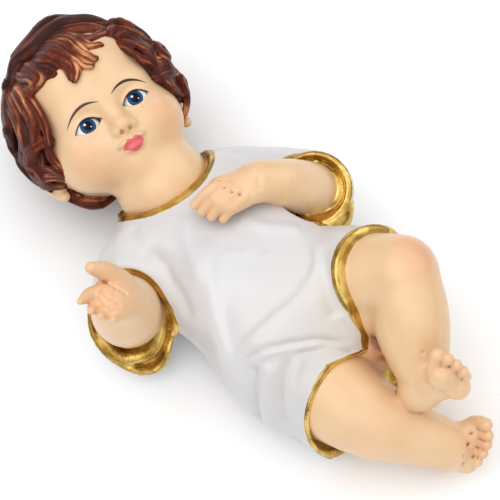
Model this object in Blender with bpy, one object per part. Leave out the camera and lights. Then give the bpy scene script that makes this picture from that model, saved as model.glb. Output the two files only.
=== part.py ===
"""Baby Jesus figurine: a child lying on its back, cast in resin as one piece.

The frame: +Z up, the figure's head towards -X, its feet towards +X and its left hand
towards +Y. The origin is under the middle of the back, on the plane the figure lies on.
"""

import math

import bmesh
import bpy
from mathutils import Matrix, Vector

# Driving dimensions, in metres.
FIGURE_LENGTH = 0.200
SLEEVE_WALL = 0.0014
SLEEVE_DEPTH = 0.006
HEM_LIP = 0.0016
NECK_LIP = 0.0012
LOCK_RADIUS = 0.0031
FINGER_RADIUS = 0.0021
TOE_RADIUS = 0.0021
FOLD_RADIUS = 0.0022

# The carving is laid out in two hundredths of the figure's length.
POINT = FIGURE_LENGTH / 200

# How finely the forms are merged, and how many faces are kept.
MERGE_CELL = 0.85 * POINT
SOFTENING_ROUNDS = 3
KEPT_SHARE = 0.055
RING_SIDES = 24
THIN_RING_SIDES = 10

FLESH_COLOUR = (0.86, 0.62, 0.42, 1.0)
PAINT_ROUGHNESS = 0.32

# The head's middle, and the directions in which it lies.
HEAD_LEAN = math.radians(11.0)
HEAD_TUCK = math.radians(15.0)
HEAD_MIDDLE = Vector((-79.0, 6.5, 29.5))
EARWARD = Vector((math.sin(HEAD_LEAN), math.cos(HEAD_LEAN), 0.0))
CROWNWARD = Vector(
    (
        -math.cos(HEAD_LEAN) * math.cos(HEAD_TUCK),
        math.sin(HEAD_LEAN) * math.cos(HEAD_TUCK),
        math.sin(HEAD_TUCK),
    )
)
FACEWARD = EARWARD.cross(CROWNWARD)
SCALP = Vector((25.0, 25.6, 24.4))

# Sections of the tunic's body: place along X, right and left edge, underside and top.
TUNIC_SECTIONS = (
    (-47.0, -8.0, 15.0, 15.0, 33.0),
    (-43.0, -17.0, 24.5, 6.0, 35.0),
    (-37.0, -23.5, 31.0, 1.0, 37.5),
    (-28.0, -26.0, 32.0, -0.6, 40.5),
    (-15.0, -25.5, 31.0, -1.2, 43.5),
    (0.0, -25.5, 30.5, -1.2, 46.0),
    (12.0, -28.5, 30.5, -1.2, 47.5),
    (22.0, -30.0, 29.0, -1.2, 46.5),
    (32.0, -28.5, 24.0, -0.6, 42.0),
    (40.0, -25.5, 18.0, 1.0, 33.0),
    (50.0, -18.0, 16.0, 2.0, 12.0),
)
TUNIC_SQUARENESS = 2.35


def clear_scene():
    """Take away whatever the scene holds."""
    for thing in list(bpy.data.objects):
        bpy.data.objects.remove(thing, do_unlink=True)


def at_head(ear, crown, face):
    """The place in the figure's frame of a point given along the head's own directions."""
    return HEAD_MIDDLE + EARWARD * ear + CROWNWARD * crown + FACEWARD * face


def ring(middle, axis, guide, width, height, sides, squareness=2.0):
    """Points round an oval that stands across the axis, its width along the guide."""
    axis = axis.normalized()
    up = axis.cross(guide).normalized()
    side = up.cross(axis)
    points = []
    for step in range(sides):
        angle = 2 * math.pi * step / sides
        across = math.copysign(abs(math.cos(angle)) ** (2 / squareness), math.cos(angle))
        along = math.copysign(abs(math.sin(angle)) ** (2 / squareness), math.sin(angle))
        points.append(middle + side * (width * across) + up * (height * along))
    return points


def add_loft(form, rings):
    """Bridge each ring to the next and close both ends with a fan."""
    loops = [[form.verts.new(point * POINT) for point in points] for points in rings]
    for near, far in zip(loops, loops[1:]):
        for step in range(len(near)):
            after = (step + 1) % len(near)
            form.faces.new((near[step], near[after], far[after], far[step]))
    for loop, points, turned in ((loops[0], rings[0], True), (loops[-1], rings[-1], False)):
        hub = form.verts.new(sum(points, Vector()) / len(points) * POINT)
        for step in range(len(loop)):
            pair = (loop[step], loop[(step + 1) % len(loop)])
            form.faces.new((*reversed(pair), hub) if turned else (*pair, hub))


def smooth_path(points, radii, steps):
    """Points and radii read from a Catmull-Rom curve through the given ones."""
    path, sizes = [], []
    last = len(points) - 1
    for index in range(last):
        before = points[max(index - 1, 0)]
        start, end = points[index], points[index + 1]
        after = points[min(index + 2, last)]
        for step in range(steps):
            t = step / steps
            path.append(
                0.5
                * (
                    2 * start
                    + (end - before) * t
                    + (2 * before - 5 * start + 4 * end - after) * t**2
                    + (3 * start - before - 3 * end + after) * t**3
                )
            )
            sizes.append(radii[index] + (radii[index + 1] - radii[index]) * t)
    return path + [points[last]], sizes + [radii[last]]


def add_limb(form, points, radii, guide, flatness=1.0, steps=4, sides=RING_SIDES):
    """A rounded limb along a smooth path: its width lies along the guide, and its ends are domes."""
    path, sizes = smooth_path([Vector(point) for point in points], radii, steps)
    guide = Vector(guide)
    rings = []
    for index, (middle, size) in enumerate(zip(path, sizes)):
        axis = path[min(index + 1, len(path) - 1)] - path[max(index - 1, 0)]
        if index == 0:
            for share in (0.95, 0.6):
                back = middle - axis.normalized() * size * share
                dome = size * math.sqrt(1 - share**2)
                rings.append(ring(back, axis, guide, dome, dome * flatness, sides))
        rings.append(ring(middle, axis, guide, size, size * flatness, sides))
        if index == len(path) - 1:
            for share in (0.6, 0.95):
                ahead = middle + axis.normalized() * size * share
                dome = size * math.sqrt(1 - share**2)
                rings.append(ring(ahead, axis, guide, dome, dome * flatness, sides))
    add_loft(form, rings)


def add_ball(form, middle, radii, ear=EARWARD, crown=CROWNWARD, face=FACEWARD):
    """An oval ball whose three radii lie along the given directions."""
    turn = Matrix((ear, crown, face)).transposed().to_4x4()
    size = Matrix.Diagonal((*[radius * POINT for radius in radii], 1.0))
    place = Matrix.Translation(middle * POINT) @ turn @ size
    bmesh.ops.create_uvsphere(form, u_segments=32, v_segments=20, radius=1.0, matrix=place)


def add_cup(form, sections, guide, wall, depth, throat):
    """A sleeve: a tube through the sections, whose open end is a funnel that narrows to the throat."""
    guide = Vector(guide)
    rings = [
        ring(Vector(middle), Vector(axis), guide, width, height, RING_SIDES)
        for middle, axis, width, height in sections
    ]
    middle, axis, width, height = sections[-1]
    middle, axis = Vector(middle), Vector(axis).normalized()
    rim = middle + axis * (0.4 * wall)
    rings.append(ring(rim, axis, guide, width - 0.4 * wall, height - 0.4 * wall, RING_SIDES))
    width, height = width - wall, height - wall
    for share in (0.0, 0.5, 1.0):
        inner = middle.lerp(Vector(throat[0]), share) - axis * (depth * share)
        wide = width + (throat[1] - width) * share
        tall = height + (throat[1] - height) * share
        rings.append(ring(inner, axis, guide, wide, tall, RING_SIDES))
    add_loft(form, rings)


def tunic_section(x):
    """The tunic's body at a place along X: right and left edge, underside and top."""
    for near, far in zip(TUNIC_SECTIONS, TUNIC_SECTIONS[1:]):
        if x <= far[0]:
            break
    share = min(max((x - near[0]) / (far[0] - near[0]), 0.0), 1.0)
    return [low + (high - low) * share for low, high in zip(near[1:], far[1:])]


def on_tunic(x, y, lift=0.0):
    """The point of the tunic's upper surface over a place of the ground."""
    right, left, low, high = tunic_section(x)
    across = abs(2 * y - right - left) / (left - right)
    rise = max(1 - across**TUNIC_SQUARENESS, 0.0) ** (1 / TUNIC_SQUARENESS)
    return Vector((x, y, (low + high) / 2 + rise * (high - low) / 2 + lift))


def add_tunic_body(form):
    """The body of the tunic from the neck to the back hem."""
    rings = []
    for x, right, left, low, high in TUNIC_SECTIONS:
        middle = Vector((x, (right + left) / 2, (low + high) / 2))
        wide, tall = (left - right) / 2, (high - low) / 2
        across = Vector((0.0, 1.0, 0.0))
        rings.append(ring(middle, Vector((1, 0, 0)), across, wide, tall, 40, TUNIC_SQUARENESS))
    add_loft(form, rings)


def add_neckline(form):
    """The rolled edge round the neck."""
    lip = NECK_LIP / POINT
    points = (
        (-49.0, -12.0, 23.0),
        (-42.7, -8.2, 31.0),
        (-37.3, -2.9, 35.5),
        (-35.2, 2.6, 37.0),
        (-35.0, 9.3, 36.5),
        (-37.6, 15.3, 34.5),
        (-41.6, 20.4, 30.0),
        (-45.5, 22.5, 24.5),
    )
    add_limb(form, points, [lip] * len(points), (0, 0, 1), sides=THIN_RING_SIDES)


def add_sleeves(form):
    """Both sleeves, hollow at the arm, with flared cuffs."""
    wall, depth = SLEEVE_WALL / POINT, SLEEVE_DEPTH / POINT
    right = (
        ((-36.0, -12.0, 20.0), (0.10, -0.99, 0.05), 11.0, 14.0),
        ((-33.0, -21.0, 19.5), (0.25, -0.93, 0.10), 13.0, 15.0),
        ((-27.5, -27.5, 19.5), (0.42, -0.80, 0.35), 14.0, 16.0),
        ((-21.3, -34.0, 20.0), (0.57, -0.60, 0.56), 13.6, 18.4),
    )
    add_cup(form, right, (0.75, 0.65, 0.0), wall, depth, ((-22.5, -33.0, 22.0), 9.5))
    left = (
        ((-34.0, 13.0, 20.0), (0.20, 0.98, 0.0), 8.0, 11.0),
        ((-33.0, 20.0, 20.0), (0.30, 0.95, 0.0), 10.5, 13.0),
        ((-28.5, 27.0, 19.5), (0.60, 0.78, 0.10), 12.5, 13.5),
        ((-20.0, 32.0, 19.5), (0.85, 0.35, 0.38), 13.5, 13.5),
        ((-11.0, 33.5, 24.5), (0.62, -0.20, 0.75), 15.0, 14.5),
    )
    add_cup(form, left, (-0.8, 0.3, 0.6), wall, depth, ((-8.5, 35.5, 25.0), 9.0))


def add_leg_cloth(form):
    """The tunic's cloth round each thigh, ending in a lip that stands off the skin."""
    lip = HEM_LIP / POINT
    right = (
        ((16.0, -6.0, 22.0), (0.95, -0.2, 0.1), 20.0, 21.0),
        ((30.0, -8.5, 20.5), (0.90, -0.25, 0.25), 18.5, 19.4),
        ((42.0, -9.0, 19.6), (0.86, -0.28, 0.36), 16.2, 18.2),
        ((43.5, -9.5, 19.4), (0.86, -0.28, 0.36), 15.8, 17.8),
    )
    add_cup(form, right, (0.0, 1.0, 0.0), lip, 2 * lip, ((43.5, -8.2, 18.8), 12.8))
    left = (
        ((10.0, 12.0, 25.0), (0.6, 0.3, 0.5), 18.0, 18.0),
        ((19.0, 17.0, 33.0), (0.55, 0.26, 0.75), 17.5, 17.5),
        ((26.0, 20.5, 40.0), (0.48, 0.24, 0.85), 15.8, 17.2),
        ((27.0, 21.0, 41.6), (0.48, 0.24, 0.85), 15.2, 16.6),
    )
    add_cup(form, left, (0.0, 1.0, 0.0), lip, 2 * lip, ((27.0, 21.8, 39.6), 12.6))


def add_folds(form):
    """Ridges of the drapery, each a low bar lying in the tunic's upper surface."""
    bar = FOLD_RADIUS / POINT
    lines = (
        ((-33, -20), (-22, -22), (-10, -20), (2, -18)),
        ((-31, -15), (-20, -17), (-8, -13), (6, -10)),
        ((-13, 6), (-6, 2), (2, 1)),
        ((0, 27), (6, 19), (12, 8), (13, -4), (11, -17)),
        ((8, 26), (14, 18), (18, 6), (19, -8)),
        ((17, -22), (24, -16), (30, -10), (36, -6)),
        ((21, -25), (28, -20), (35, -17)),
        ((-33, 27), (-24, 24), (-14, 21)),
    )
    for line in lines:
        path = [on_tunic(x, y, -0.35 * bar) for x, y in line]
        radii = [0.55 * bar] + [bar] * (len(path) - 2) + [0.55 * bar]
        add_limb(form, path, radii, (0, 0, 1), flatness=0.8, sides=THIN_RING_SIDES)


def add_arms(form):
    """Both forearms, from inside the sleeve to the wrist."""
    right = ((-24.0, -27.0, 19.0), (-22.3, -33.5, 24.0), (-21.8, -35.6, 34.0), (-21.8, -37.0, 44.0))
    add_limb(form, right, (9.5, 10.2, 9.2, 6.4), (1, 0, 0))
    left = ((-14.0, 37.0, 22.0), (-6.6, 36.5, 28.5), (-11.0, 26.0, 41.0), (-16.5, 17.5, 47.5))
    add_limb(form, left, (9.0, 9.6, 8.4, 6.0), (0.7, 0.7, 0))


def add_hands(form):
    """The right hand with its palm up, and the left hand laid on the chest."""
    thick = FINGER_RADIUS / POINT
    add_limb(form, ((-21.8, -37.0, 44.0), (-21.8, -38.6, 50.5)), (6.0, 7.2), (1, 0, 0), 0.72)
    right_fingers = (
        ((-26.6, -41.0, 51.0), (-26.3, -46.0, 52.6), (-25.0, -49.2, 57.2)),
        ((-23.2, -42.0, 51.0), (-22.2, -47.2, 52.6), (-20.9, -49.3, 57.0)),
        ((-19.8, -41.8, 50.6), (-18.5, -46.4, 52.0), (-17.4, -47.8, 56.2)),
        ((-17.0, -40.2, 50.2), (-15.4, -44.0, 51.6), (-14.5, -45.2, 55.0)),
        ((-25.4, -35.8, 48.6), (-29.0, -37.6, 53.2), (-31.2, -40.0, 57.6)),
    )
    add_limb(form, ((-16.5, 17.5, 47.5), (-20.8, 10.4, 48.8)), (5.6, 7.4), (1, 0.6, 0), 0.62)
    left_fingers = (
        ((-25.3, 9.6, 50.2), (-26.8, 4.4, 49.2), (-27.0, 0.4, 46.2)),
        ((-22.6, 8.2, 50.6), (-23.4, 3.6, 49.4), (-22.6, 0.6, 46.2)),
        ((-19.8, 8.2, 50.4), (-20.2, 4.2, 49.0), (-19.2, 1.6, 46.2)),
        ((-17.2, 9.2, 49.8), (-17.4, 6.0, 48.4), (-16.6, 3.6, 46.2)),
        ((-24.4, 12.6, 49.0), (-28.4, 10.2, 48.4), (-30.2, 6.6, 46.6)),
    )
    for finger in right_fingers + left_fingers:
        radii = (1.15 * thick, 1.05 * thick, 0.85 * thick)
        add_limb(form, finger, radii, (0.2, 0.1, 1.0), sides=THIN_RING_SIDES)


def add_legs(form):
    """The nearly straight right leg, and the left leg bent with its knee up."""
    right = (
        (26.0, -8.0, 20.0),
        (44.0, -8.2, 18.8),
        (56.8, -4.3, 18.0),
        (67.0, 1.8, 15.5),
        (74.0, 6.8, 12.5),
    )
    add_limb(form, right, (15.0, 13.2, 11.6, 9.2, 7.4), (0, 0, 1))
    thigh = ((13.0, 14.0, 26.0), (26.0, 21.5, 38.5), (36.8, 27.0, 48.6))
    add_limb(form, thigh, (13.5, 13.2, 11.0), (0, 0, 1))
    shin = ((37.5, 26.0, 48.6), (46.5, 17.8, 41.5), (53.5, 13.6, 36.0), (58.5, 10.4, 32.0))
    add_limb(form, shin, (10.4, 11.4, 9.0, 7.2), (0, 0, 1))


def add_foot(form, heel, arch, ball, across, toes, sole):
    """A foot: heel, arch and ball as one broad bar, and five toes in a row."""
    thick = TOE_RADIUS / POINT
    add_limb(form, (heel, arch, ball), (6.4, 6.6, 7.6), across, 0.74)
    add_ball(form, Vector(heel), (6.6, 6.6, 6.6))
    for place, share in zip(toes, (1.45, 1.08, 1.0, 0.92, 0.86)):
        tip, middle = Vector(place), Vector(ball)
        root = tip.lerp(middle, 0.55)
        add_limb(form, (root, tip), (share * thick,) * 2, sole, sides=THIN_RING_SIDES)


def add_feet(form):
    """The right foot, and the left foot with its heel on the right shin."""
    right_toes = (
        (80.6, 18.0, 20.4),
        (83.2, 15.6, 18.8),
        (84.6, 13.2, 16.8),
        (85.6, 10.8, 14.6),
        (86.0, 8.3, 12.4),
    )
    add_foot(
        form,
        (75.5, 6.6, 8.6),
        (78.0, 9.4, 11.8),
        (80.0, 12.0, 14.6),
        (-0.40, 0.71, 0.58),
        right_toes,
        (0.6, -0.4, -0.6),
    )
    left_toes = (
        (58.8, 12.4, 54.2),
        (62.0, 13.6, 53.2),
        (64.4, 14.8, 51.6),
        (66.6, 15.8, 49.4),
        (68.4, 16.4, 46.8),
    )
    add_foot(
        form,
        (60.5, 7.6, 29.0),
        (60.6, 9.8, 37.0),
        (62.4, 13.2, 45.4),
        (0.76, 0.28, -0.58),
        left_toes,
        (0.8, -0.5, 0.2),
    )


def add_head(form):
    """The neck, the skull, a calm child's face on plain proportions, and the ears."""
    neck = (Vector((-38.0, 1.0, 22.0)), Vector((-50.0, 1.5, 25.0)), at_head(0, -12, -3))
    add_limb(form, neck, (12.5, 12.0, 13.0), EARWARD)
    add_ball(form, at_head(0, 2.5, 0), (23.4, 24.0, 24.0))
    add_ball(form, at_head(0, -8, 1.5), (23.0, 18.5, 21.5))
    add_ball(form, at_head(0, -15, 12), (10.0, 9.5, 9.6))
    add_ball(form, at_head(0, -22.5, 10.5), (7.4, 5.2, 7.4))
    add_ball(form, at_head(0, -11.6, 21.7), (2.7, 2.3, 3.0))
    add_limb(form, (at_head(0, -3, 21.2), at_head(0, -10.8, 22.2)), (2.0, 2.2), EARWARD)
    add_ball(form, at_head(0, -16.8, 20.8), (3.9, 1.3, 2.1))
    add_ball(form, at_head(0, -19.2, 19.8), (3.3, 1.4, 2.1))
    for side in (-1, 1):
        add_ball(form, at_head(10.2 * side, -13.0, 8.6), (11.6, 10.2, 11.4))
        add_ball(form, at_head(8.6 * side, -5.5, 18.4), (4.7, 3.2, 3.9))
        add_ball(form, at_head(23.2 * side, -13.0, -1.0), (2.8, 6.4, 4.4))


def on_scalp(turn, drop, lift):
    """A point over the scalp: turn is measured round the face from the crown, drop from the
    middle of the face towards the back, both in degrees."""
    turn, drop = math.radians(turn), math.radians(drop)
    ear = math.sin(turn) * math.sin(drop)
    crown = math.cos(turn) * math.sin(drop)
    face = math.cos(drop)
    return at_head(
        ear * (SCALP.x + lift), 1.5 + crown * (SCALP.y + lift), -1.5 + face * (SCALP.z + lift)
    )


def add_lock(form, start, end, wave, lift, radius):
    """A lock of hair: a tapering bar that swings from side to side as it lies on the scalp."""
    steps = 9
    points, radii = [], []
    for step in range(steps + 1):
        share = step / steps
        sway = wave * math.sin(2 * math.pi * share) * (0.4 + 0.6 * share)
        turn = start[0] + (end[0] - start[0]) * share + sway
        drop = start[1] + (end[1] - start[1]) * share + 0.3 * sway
        rise = lift * math.sin(math.pi * (0.15 + 0.7 * share))
        points.append(on_scalp(turn, drop, rise))
        radii.append(radius * (0.55 + 0.75 * math.sin(math.pi * (0.2 + 0.62 * share))))
    add_limb(form, points, radii, FACEWARD, steps=1, sides=THIN_RING_SIDES)


def add_hair(form):
    """The cap of hair, the locks round the face, and rows of locks over the back."""
    radius = LOCK_RADIUS / POINT
    add_ball(form, at_head(0, 3.0, -4.0), (25.2, 25.0, 23.6))
    face_locks = (
        ((42, 76), (32, 42), 4, 1.5),
        ((38, 80), (22, 28), 5, 2.0),
        ((30, 84), (-30, 25), 6, 2.5),
        ((20, 88), (-36, 40), 6, 2.5),
        ((6, 92), (-49, 58), 6, 2.0),
        ((-14, 94), (-64, 52), 6, 2.0),
        ((-36, 96), (-92, 53), 7, 2.0),
        ((-58, 98), (-110, 62), 7, 2.0),
        ((-80, 100), (-128, 76), 6, 2.0),
        ((-100, 104), (-140, 96), 5, 1.5),
        ((50, 76), (60, 52), 5, 1.5),
        ((54, 84), (84, 48), 6, 1.5),
        ((64, 92), (104, 58), 6, 1.5),
        ((78, 100), (114, 78), 6, 1.5),
        ((96, 108), (122, 98), 5, 1.5),
    )
    for start, end, wave, lift in face_locks:
        add_lock(form, start, end, wave, lift, radius)
    for drop, count in ((88, 12), (106, 12), (126, 10), (148, 7)):
        for index in range(count):
            turn = -146 + 292 * index / (count - 1)
            sweep = 22 * math.copysign(1, turn if turn else 1)
            add_lock(form, (turn, drop), (turn + sweep, drop + 16), 7, 1.4, radius)


def painted_resin():
    """The figure's paint: skin-coloured satin enamel."""
    paint = bpy.data.materials.new("painted resin")
    paint.use_nodes = True
    surface = paint.node_tree.nodes["Principled BSDF"]
    surface.inputs["Base Color"].default_value = FLESH_COLOUR
    surface.inputs["Roughness"].default_value = PAINT_ROUGHNESS
    surface.inputs["Metallic"].default_value = 0.0
    return paint


def add_cutter(name, low, high):
    """A hidden box that takes material away."""
    cutter = bmesh.new()
    size, middle = high - low, (low + high) / 2
    place = Matrix.Translation(middle) @ Matrix.Diagonal((*size, 1.0))
    bmesh.ops.create_cube(cutter, size=1.0, matrix=place)
    mesh = bpy.data.meshes.new(name)
    cutter.to_mesh(mesh)
    cutter.free()
    box = bpy.data.objects.new(name, mesh)
    box.hide_render = True
    box.display_type = "WIRE"
    bpy.context.scene.collection.objects.link(box)
    return box


def cast_figure():
    """Merge the forms into the one cast body and cut its resting plane."""
    form = bmesh.new()
    add_tunic_body(form)
    add_neckline(form)
    add_sleeves(form)
    add_leg_cloth(form)
    add_folds(form)
    add_arms(form)
    add_hands(form)
    add_legs(form)
    add_feet(form)
    add_head(form)
    add_hair(form)
    bmesh.ops.recalc_face_normals(form, faces=form.faces)
    mesh = bpy.data.meshes.new("figurine")
    form.to_mesh(mesh)
    form.free()
    mesh.materials.append(painted_resin())
    figurine = bpy.data.objects.new("figurine", mesh)
    bpy.context.scene.collection.objects.link(figurine)

    merge = figurine.modifiers.new("merge", "REMESH")
    merge.mode = "VOXEL"
    merge.voxel_size = MERGE_CELL
    merge.use_smooth_shade = True
    soften = figurine.modifiers.new("soften", "SMOOTH")
    soften.factor = 0.5
    soften.iterations = SOFTENING_ROUNDS
    thin = figurine.modifiers.new("fewer faces", "DECIMATE")
    thin.ratio = KEPT_SHARE
    reach = FIGURE_LENGTH
    ground = add_cutter(
        "ground", Vector((-reach, -reach, -reach)), Vector((reach, reach, 0.0))
    )
    rest = figurine.modifiers.new("resting plane", "BOOLEAN")
    rest.operation = "DIFFERENCE"
    rest.object = ground
    return figurine


clear_scene()
cast_figure()
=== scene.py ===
"""Figurine of a child on its back: the carved and painted surface of one resin casting, on a
pale floor, seen from above its right side. Sizes are in millimetres unless a name says
otherwise."""

import bpy
import numpy as np
from mathutils import Matrix, Vector


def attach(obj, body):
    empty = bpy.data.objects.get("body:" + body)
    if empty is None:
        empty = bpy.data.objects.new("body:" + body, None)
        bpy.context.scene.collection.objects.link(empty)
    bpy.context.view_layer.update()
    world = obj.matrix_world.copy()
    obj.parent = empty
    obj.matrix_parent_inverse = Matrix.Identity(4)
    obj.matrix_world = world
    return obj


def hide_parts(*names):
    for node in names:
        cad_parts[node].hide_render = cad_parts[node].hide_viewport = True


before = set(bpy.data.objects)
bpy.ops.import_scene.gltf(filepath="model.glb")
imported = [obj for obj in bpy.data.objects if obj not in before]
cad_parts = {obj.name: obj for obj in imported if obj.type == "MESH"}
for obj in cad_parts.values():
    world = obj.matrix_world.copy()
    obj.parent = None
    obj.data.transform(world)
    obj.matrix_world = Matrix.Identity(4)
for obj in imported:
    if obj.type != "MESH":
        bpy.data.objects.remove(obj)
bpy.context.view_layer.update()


# The legs and feet
# The bare legs of the casting: the right one nearly straight, the left one bent with its heel
# on the right shin. They are carved with the rest in one body and painted in flesh enamel.

MM = 0.001
FAR = np.float32(20.0)


def soft_min(first, second, width):
    """The lower of two distances, rounded over the given width where they cross."""
    if width <= 0:
        return np.minimum(first, second)
    near = np.maximum(width - np.abs(first - second), 0) / width
    return np.minimum(first, second) - near * near * (width / 4)


class Clay:
    """Distances to a carved form on a grid of points one cell apart. Below zero is inside."""

    def __init__(self, low, high, cell):
        self.low = np.array(low, float)
        self.cell = cell
        count = np.ceil((np.array(high, float) - self.low) / cell).astype(int) + 1
        self.depth = np.full(count, FAR, np.float32)

    def work(self, shape, blend, sign):
        """Blend a shape in (sign 1) or cut it away (sign -1) where the grid is near it."""
        distance, low, high = shape
        margin = blend + 3 * self.cell
        first = np.floor((low - margin - self.low) / self.cell).astype(int)
        last = np.ceil((high + margin - self.low) / self.cell).astype(int) + 1
        first = np.clip(first, 0, self.depth.shape)
        last = np.clip(last, 0, self.depth.shape)
        if (last <= first).any():
            return
        block = tuple(slice(a, b) for a, b in zip(first, last))
        lines = [self.low[i] + self.cell * np.arange(first[i], last[i]) for i in range(3)]
        x, y, z = np.meshgrid(*[line.astype(np.float32) for line in lines], indexing="ij", sparse=True)
        made = distance(x, y, z)
        self.depth[block] = sign * soft_min(sign * self.depth[block], made, blend)

    def add(self, shape, blend=0.0):
        self.work(shape, blend, 1)

    def cut(self, shape, blend=0.0):
        self.work(shape, blend, -1)

    def skin(self):
        """The surface where the distance is zero: each grid cell it passes through gets one
        point, the mean of its crossings with the cell's edges, and each crossed edge one face."""
        self.depth[[0, -1]] = self.depth[:, [0, -1]] = self.depth[:, :, [0, -1]] = FAR
        cells, places, faces = [], [], []
        shape = self.depth.shape
        for axis in range(3):
            count = shape[axis]
            near = self.depth.take(range(count - 1), axis)
            far = self.depth.take(range(1, count), axis)
            at = np.argwhere((near < 0) != (far < 0))
            inside = near[tuple(at.T)]
            share = inside / (inside - far[tuple(at.T)])
            place = at.astype(float)
            place[:, axis] += share
            second, third = (axis + 1) % 3, (axis + 2) % 3
            corners = []
            for step, other in ((0, 0), (-1, 0), (-1, -1), (0, -1)):
                cell = at.copy()
                cell[:, second] += step
                cell[:, third] += other
                corners.append(np.ravel_multi_index(tuple(cell.T), shape))
            corners = np.stack(corners, 1)
            cells.append(corners.ravel())
            places.append(np.repeat(place, 4, axis=0))
            faces.append(np.where((inside < 0)[:, None], corners, corners[:, ::-1]))
        names, index = np.unique(np.concatenate(cells), return_inverse=True)
        places = np.concatenate(places)
        total = np.bincount(index, minlength=len(names))
        points = np.stack([np.bincount(index, places[:, i]) / total for i in range(3)], 1)
        faces = np.searchsorted(names, np.concatenate(faces))
        return Skin(points * self.cell + self.low, faces)


def along_path(points, path):
    """For each point: its distance to a path, how far along the path the nearest place is (0 to
    1), the way from that place to the point, and the path's direction there."""
    best = np.full(len(points), np.inf)
    share = np.zeros(len(points))
    away, way = np.zeros(points.shape), np.zeros(points.shape)
    for index, (start, end) in enumerate(zip(path[:-1], path[1:])):
        line = end - start
        length = line @ line
        if length < 1e-9:
            continue
        place = np.clip((points - start) @ line / length, 0, 1)
        apart = points - start - place[:, None] * line
        distance = np.linalg.norm(apart, axis=1)
        nearer = distance < best
        best[nearer] = distance[nearer]
        share[nearer] = (index + place[nearer]) / (len(path) - 1)
        away[nearer] = apart[nearer]
        way[nearer] = line / np.sqrt(length)
    return best, share, away, way


class Skin:
    """A carved surface: its points and its four-sided faces."""

    def __init__(self, points, faces):
        self.points, self.faces = points, faces
        self.starts = np.concatenate([faces[:, i] for i in range(4)])
        self.ends = np.concatenate([faces[:, (i + 1) % 4] for i in range(4)])
        self.count = np.bincount(self.starts, minlength=len(points))

    def average(self, values):
        """The mean of each point's neighbours."""
        columns = [
            np.bincount(self.starts, column[self.ends], len(self.points)) for column in values.T
        ]
        return np.stack(columns, 1) / self.count[:, None]

    def soften(self, rounds):
        """Even the surface out without shrinking it: a step towards the neighbours' mean and a
        slightly longer step back, repeated."""
        for _ in range(rounds):
            for share in (0.5, -0.52):
                self.points = self.points + share * (self.average(self.points) - self.points)

    def normals(self):
        a, b, c, d = (self.points[self.faces[:, i]] for i in range(4))
        across = np.cross(c - a, d - b)
        normals = np.zeros_like(self.points)
        for i in range(3):
            for j in range(4):
                normals[:, i] += np.bincount(self.faces[:, j], across[:, i], len(self.points))
        return normals / np.maximum(np.linalg.norm(normals, axis=1), 1e-9)[:, None]

    def nearest(self, path):
        """The surface's own points nearest to the rows of a path."""
        return np.array([self.points[((self.points - row) ** 2).sum(1).argmin()] for row in path])

    def ridge(self, path, width, height, reach=None, closed=False):
        """Heights that raise the surface along a path laid on it. Without a reach it is a
        rounded ridge, or a crease where the height is negative. With a reach it is the edge of
        a cloth: steep on the path's left, and level again at the reach on its right."""
        path = self.nearest(smooth_path(path, 6))
        path[1:-1] = (path[:-2] + 2 * path[1:-1] + path[2:]) / 4
        margin = 3 * width + (reach or 0)
        low, high = path.min(0) - margin, path.max(0) + margin
        near = np.flatnonzero(((self.points > low) & (self.points < high)).all(1))
        distance, share, away, way = along_path(self.points[near], path)
        ends = 1.0 if closed else np.clip(share / 0.18, 0, 1) * np.clip((1 - share) / 0.18, 0, 1)
        if reach is None:
            made = np.exp(-((distance / width) ** 2))
        else:
            right = (np.cross(way, self.normals()[near]) * away).sum(1)
            side = np.where(right > 0, distance, -distance)
            made = 0.5 + 0.5 * np.tanh(1.5 * side / width)
            made = made * np.exp(-((np.maximum(side, 0) / reach) ** 2)) * (side > -3 * width)
        heights = np.zeros(len(self.points))
        heights[near] = height * made * ends * ends * (3 - 2 * ends)
        return heights

    def dent(self, place, width, height):
        """Heights that press a round dimple into the surface at its point nearest to a place."""
        away = ((self.points - self.nearest([place])) ** 2).sum(1)
        return height * np.exp(-away / width**2)

    def hollow(self, rounds):
        """How far each point lies under its smoothed surroundings, positive in a crevice."""
        smooth = self.points
        for _ in range(rounds):
            smooth = 0.5 * smooth + 0.5 * self.average(smooth)
        return ((smooth - self.points) * self.normals()).sum(1)


def ball(middle, radii, turn=np.eye(3)):
    """Distance to an oval ball: the point is scaled to the round ball of radius one, and its
    distance there is scaled back. The rows of turn are the directions of the radii."""
    middle = np.array(middle, float)
    radii = np.array(radii, float) * np.ones(3)

    def distance(x, y, z):
        away = (x - middle[0], y - middle[1], z - middle[2])
        parts = [sum(turn[i][j] * away[j] for j in range(3)) / radii[i] for i in range(3)]
        near = np.sqrt(sum(part * part for part in parts))
        slope = np.sqrt(sum((part / radius) ** 2 for part, radius in zip(parts, radii)))
        return near * (near - 1) / np.maximum(slope, 1e-6)

    return distance, middle - radii.max(), middle + radii.max()


def smooth_path(points, steps):
    """Rows read from a Catmull-Rom curve through the given rows."""
    points = np.array(points, float)
    ends = np.concatenate([points[:1], points, points[-1:]])
    before, start, end, after = ends[:-3], ends[1:-2], ends[2:-1], ends[3:]
    t = (np.arange(steps) / steps)[None, :, None]
    before, start, end, after = (part[:, None, :] for part in (before, start, end, after))
    curve = 0.5 * (
        2 * start
        + (end - before) * t
        + (2 * before - 5 * start + 4 * end - after) * t**2
        + (3 * start - before - 3 * end + after) * t**3
    )
    return np.concatenate([curve.reshape(-1, points.shape[1]), points[-1:]])


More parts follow.
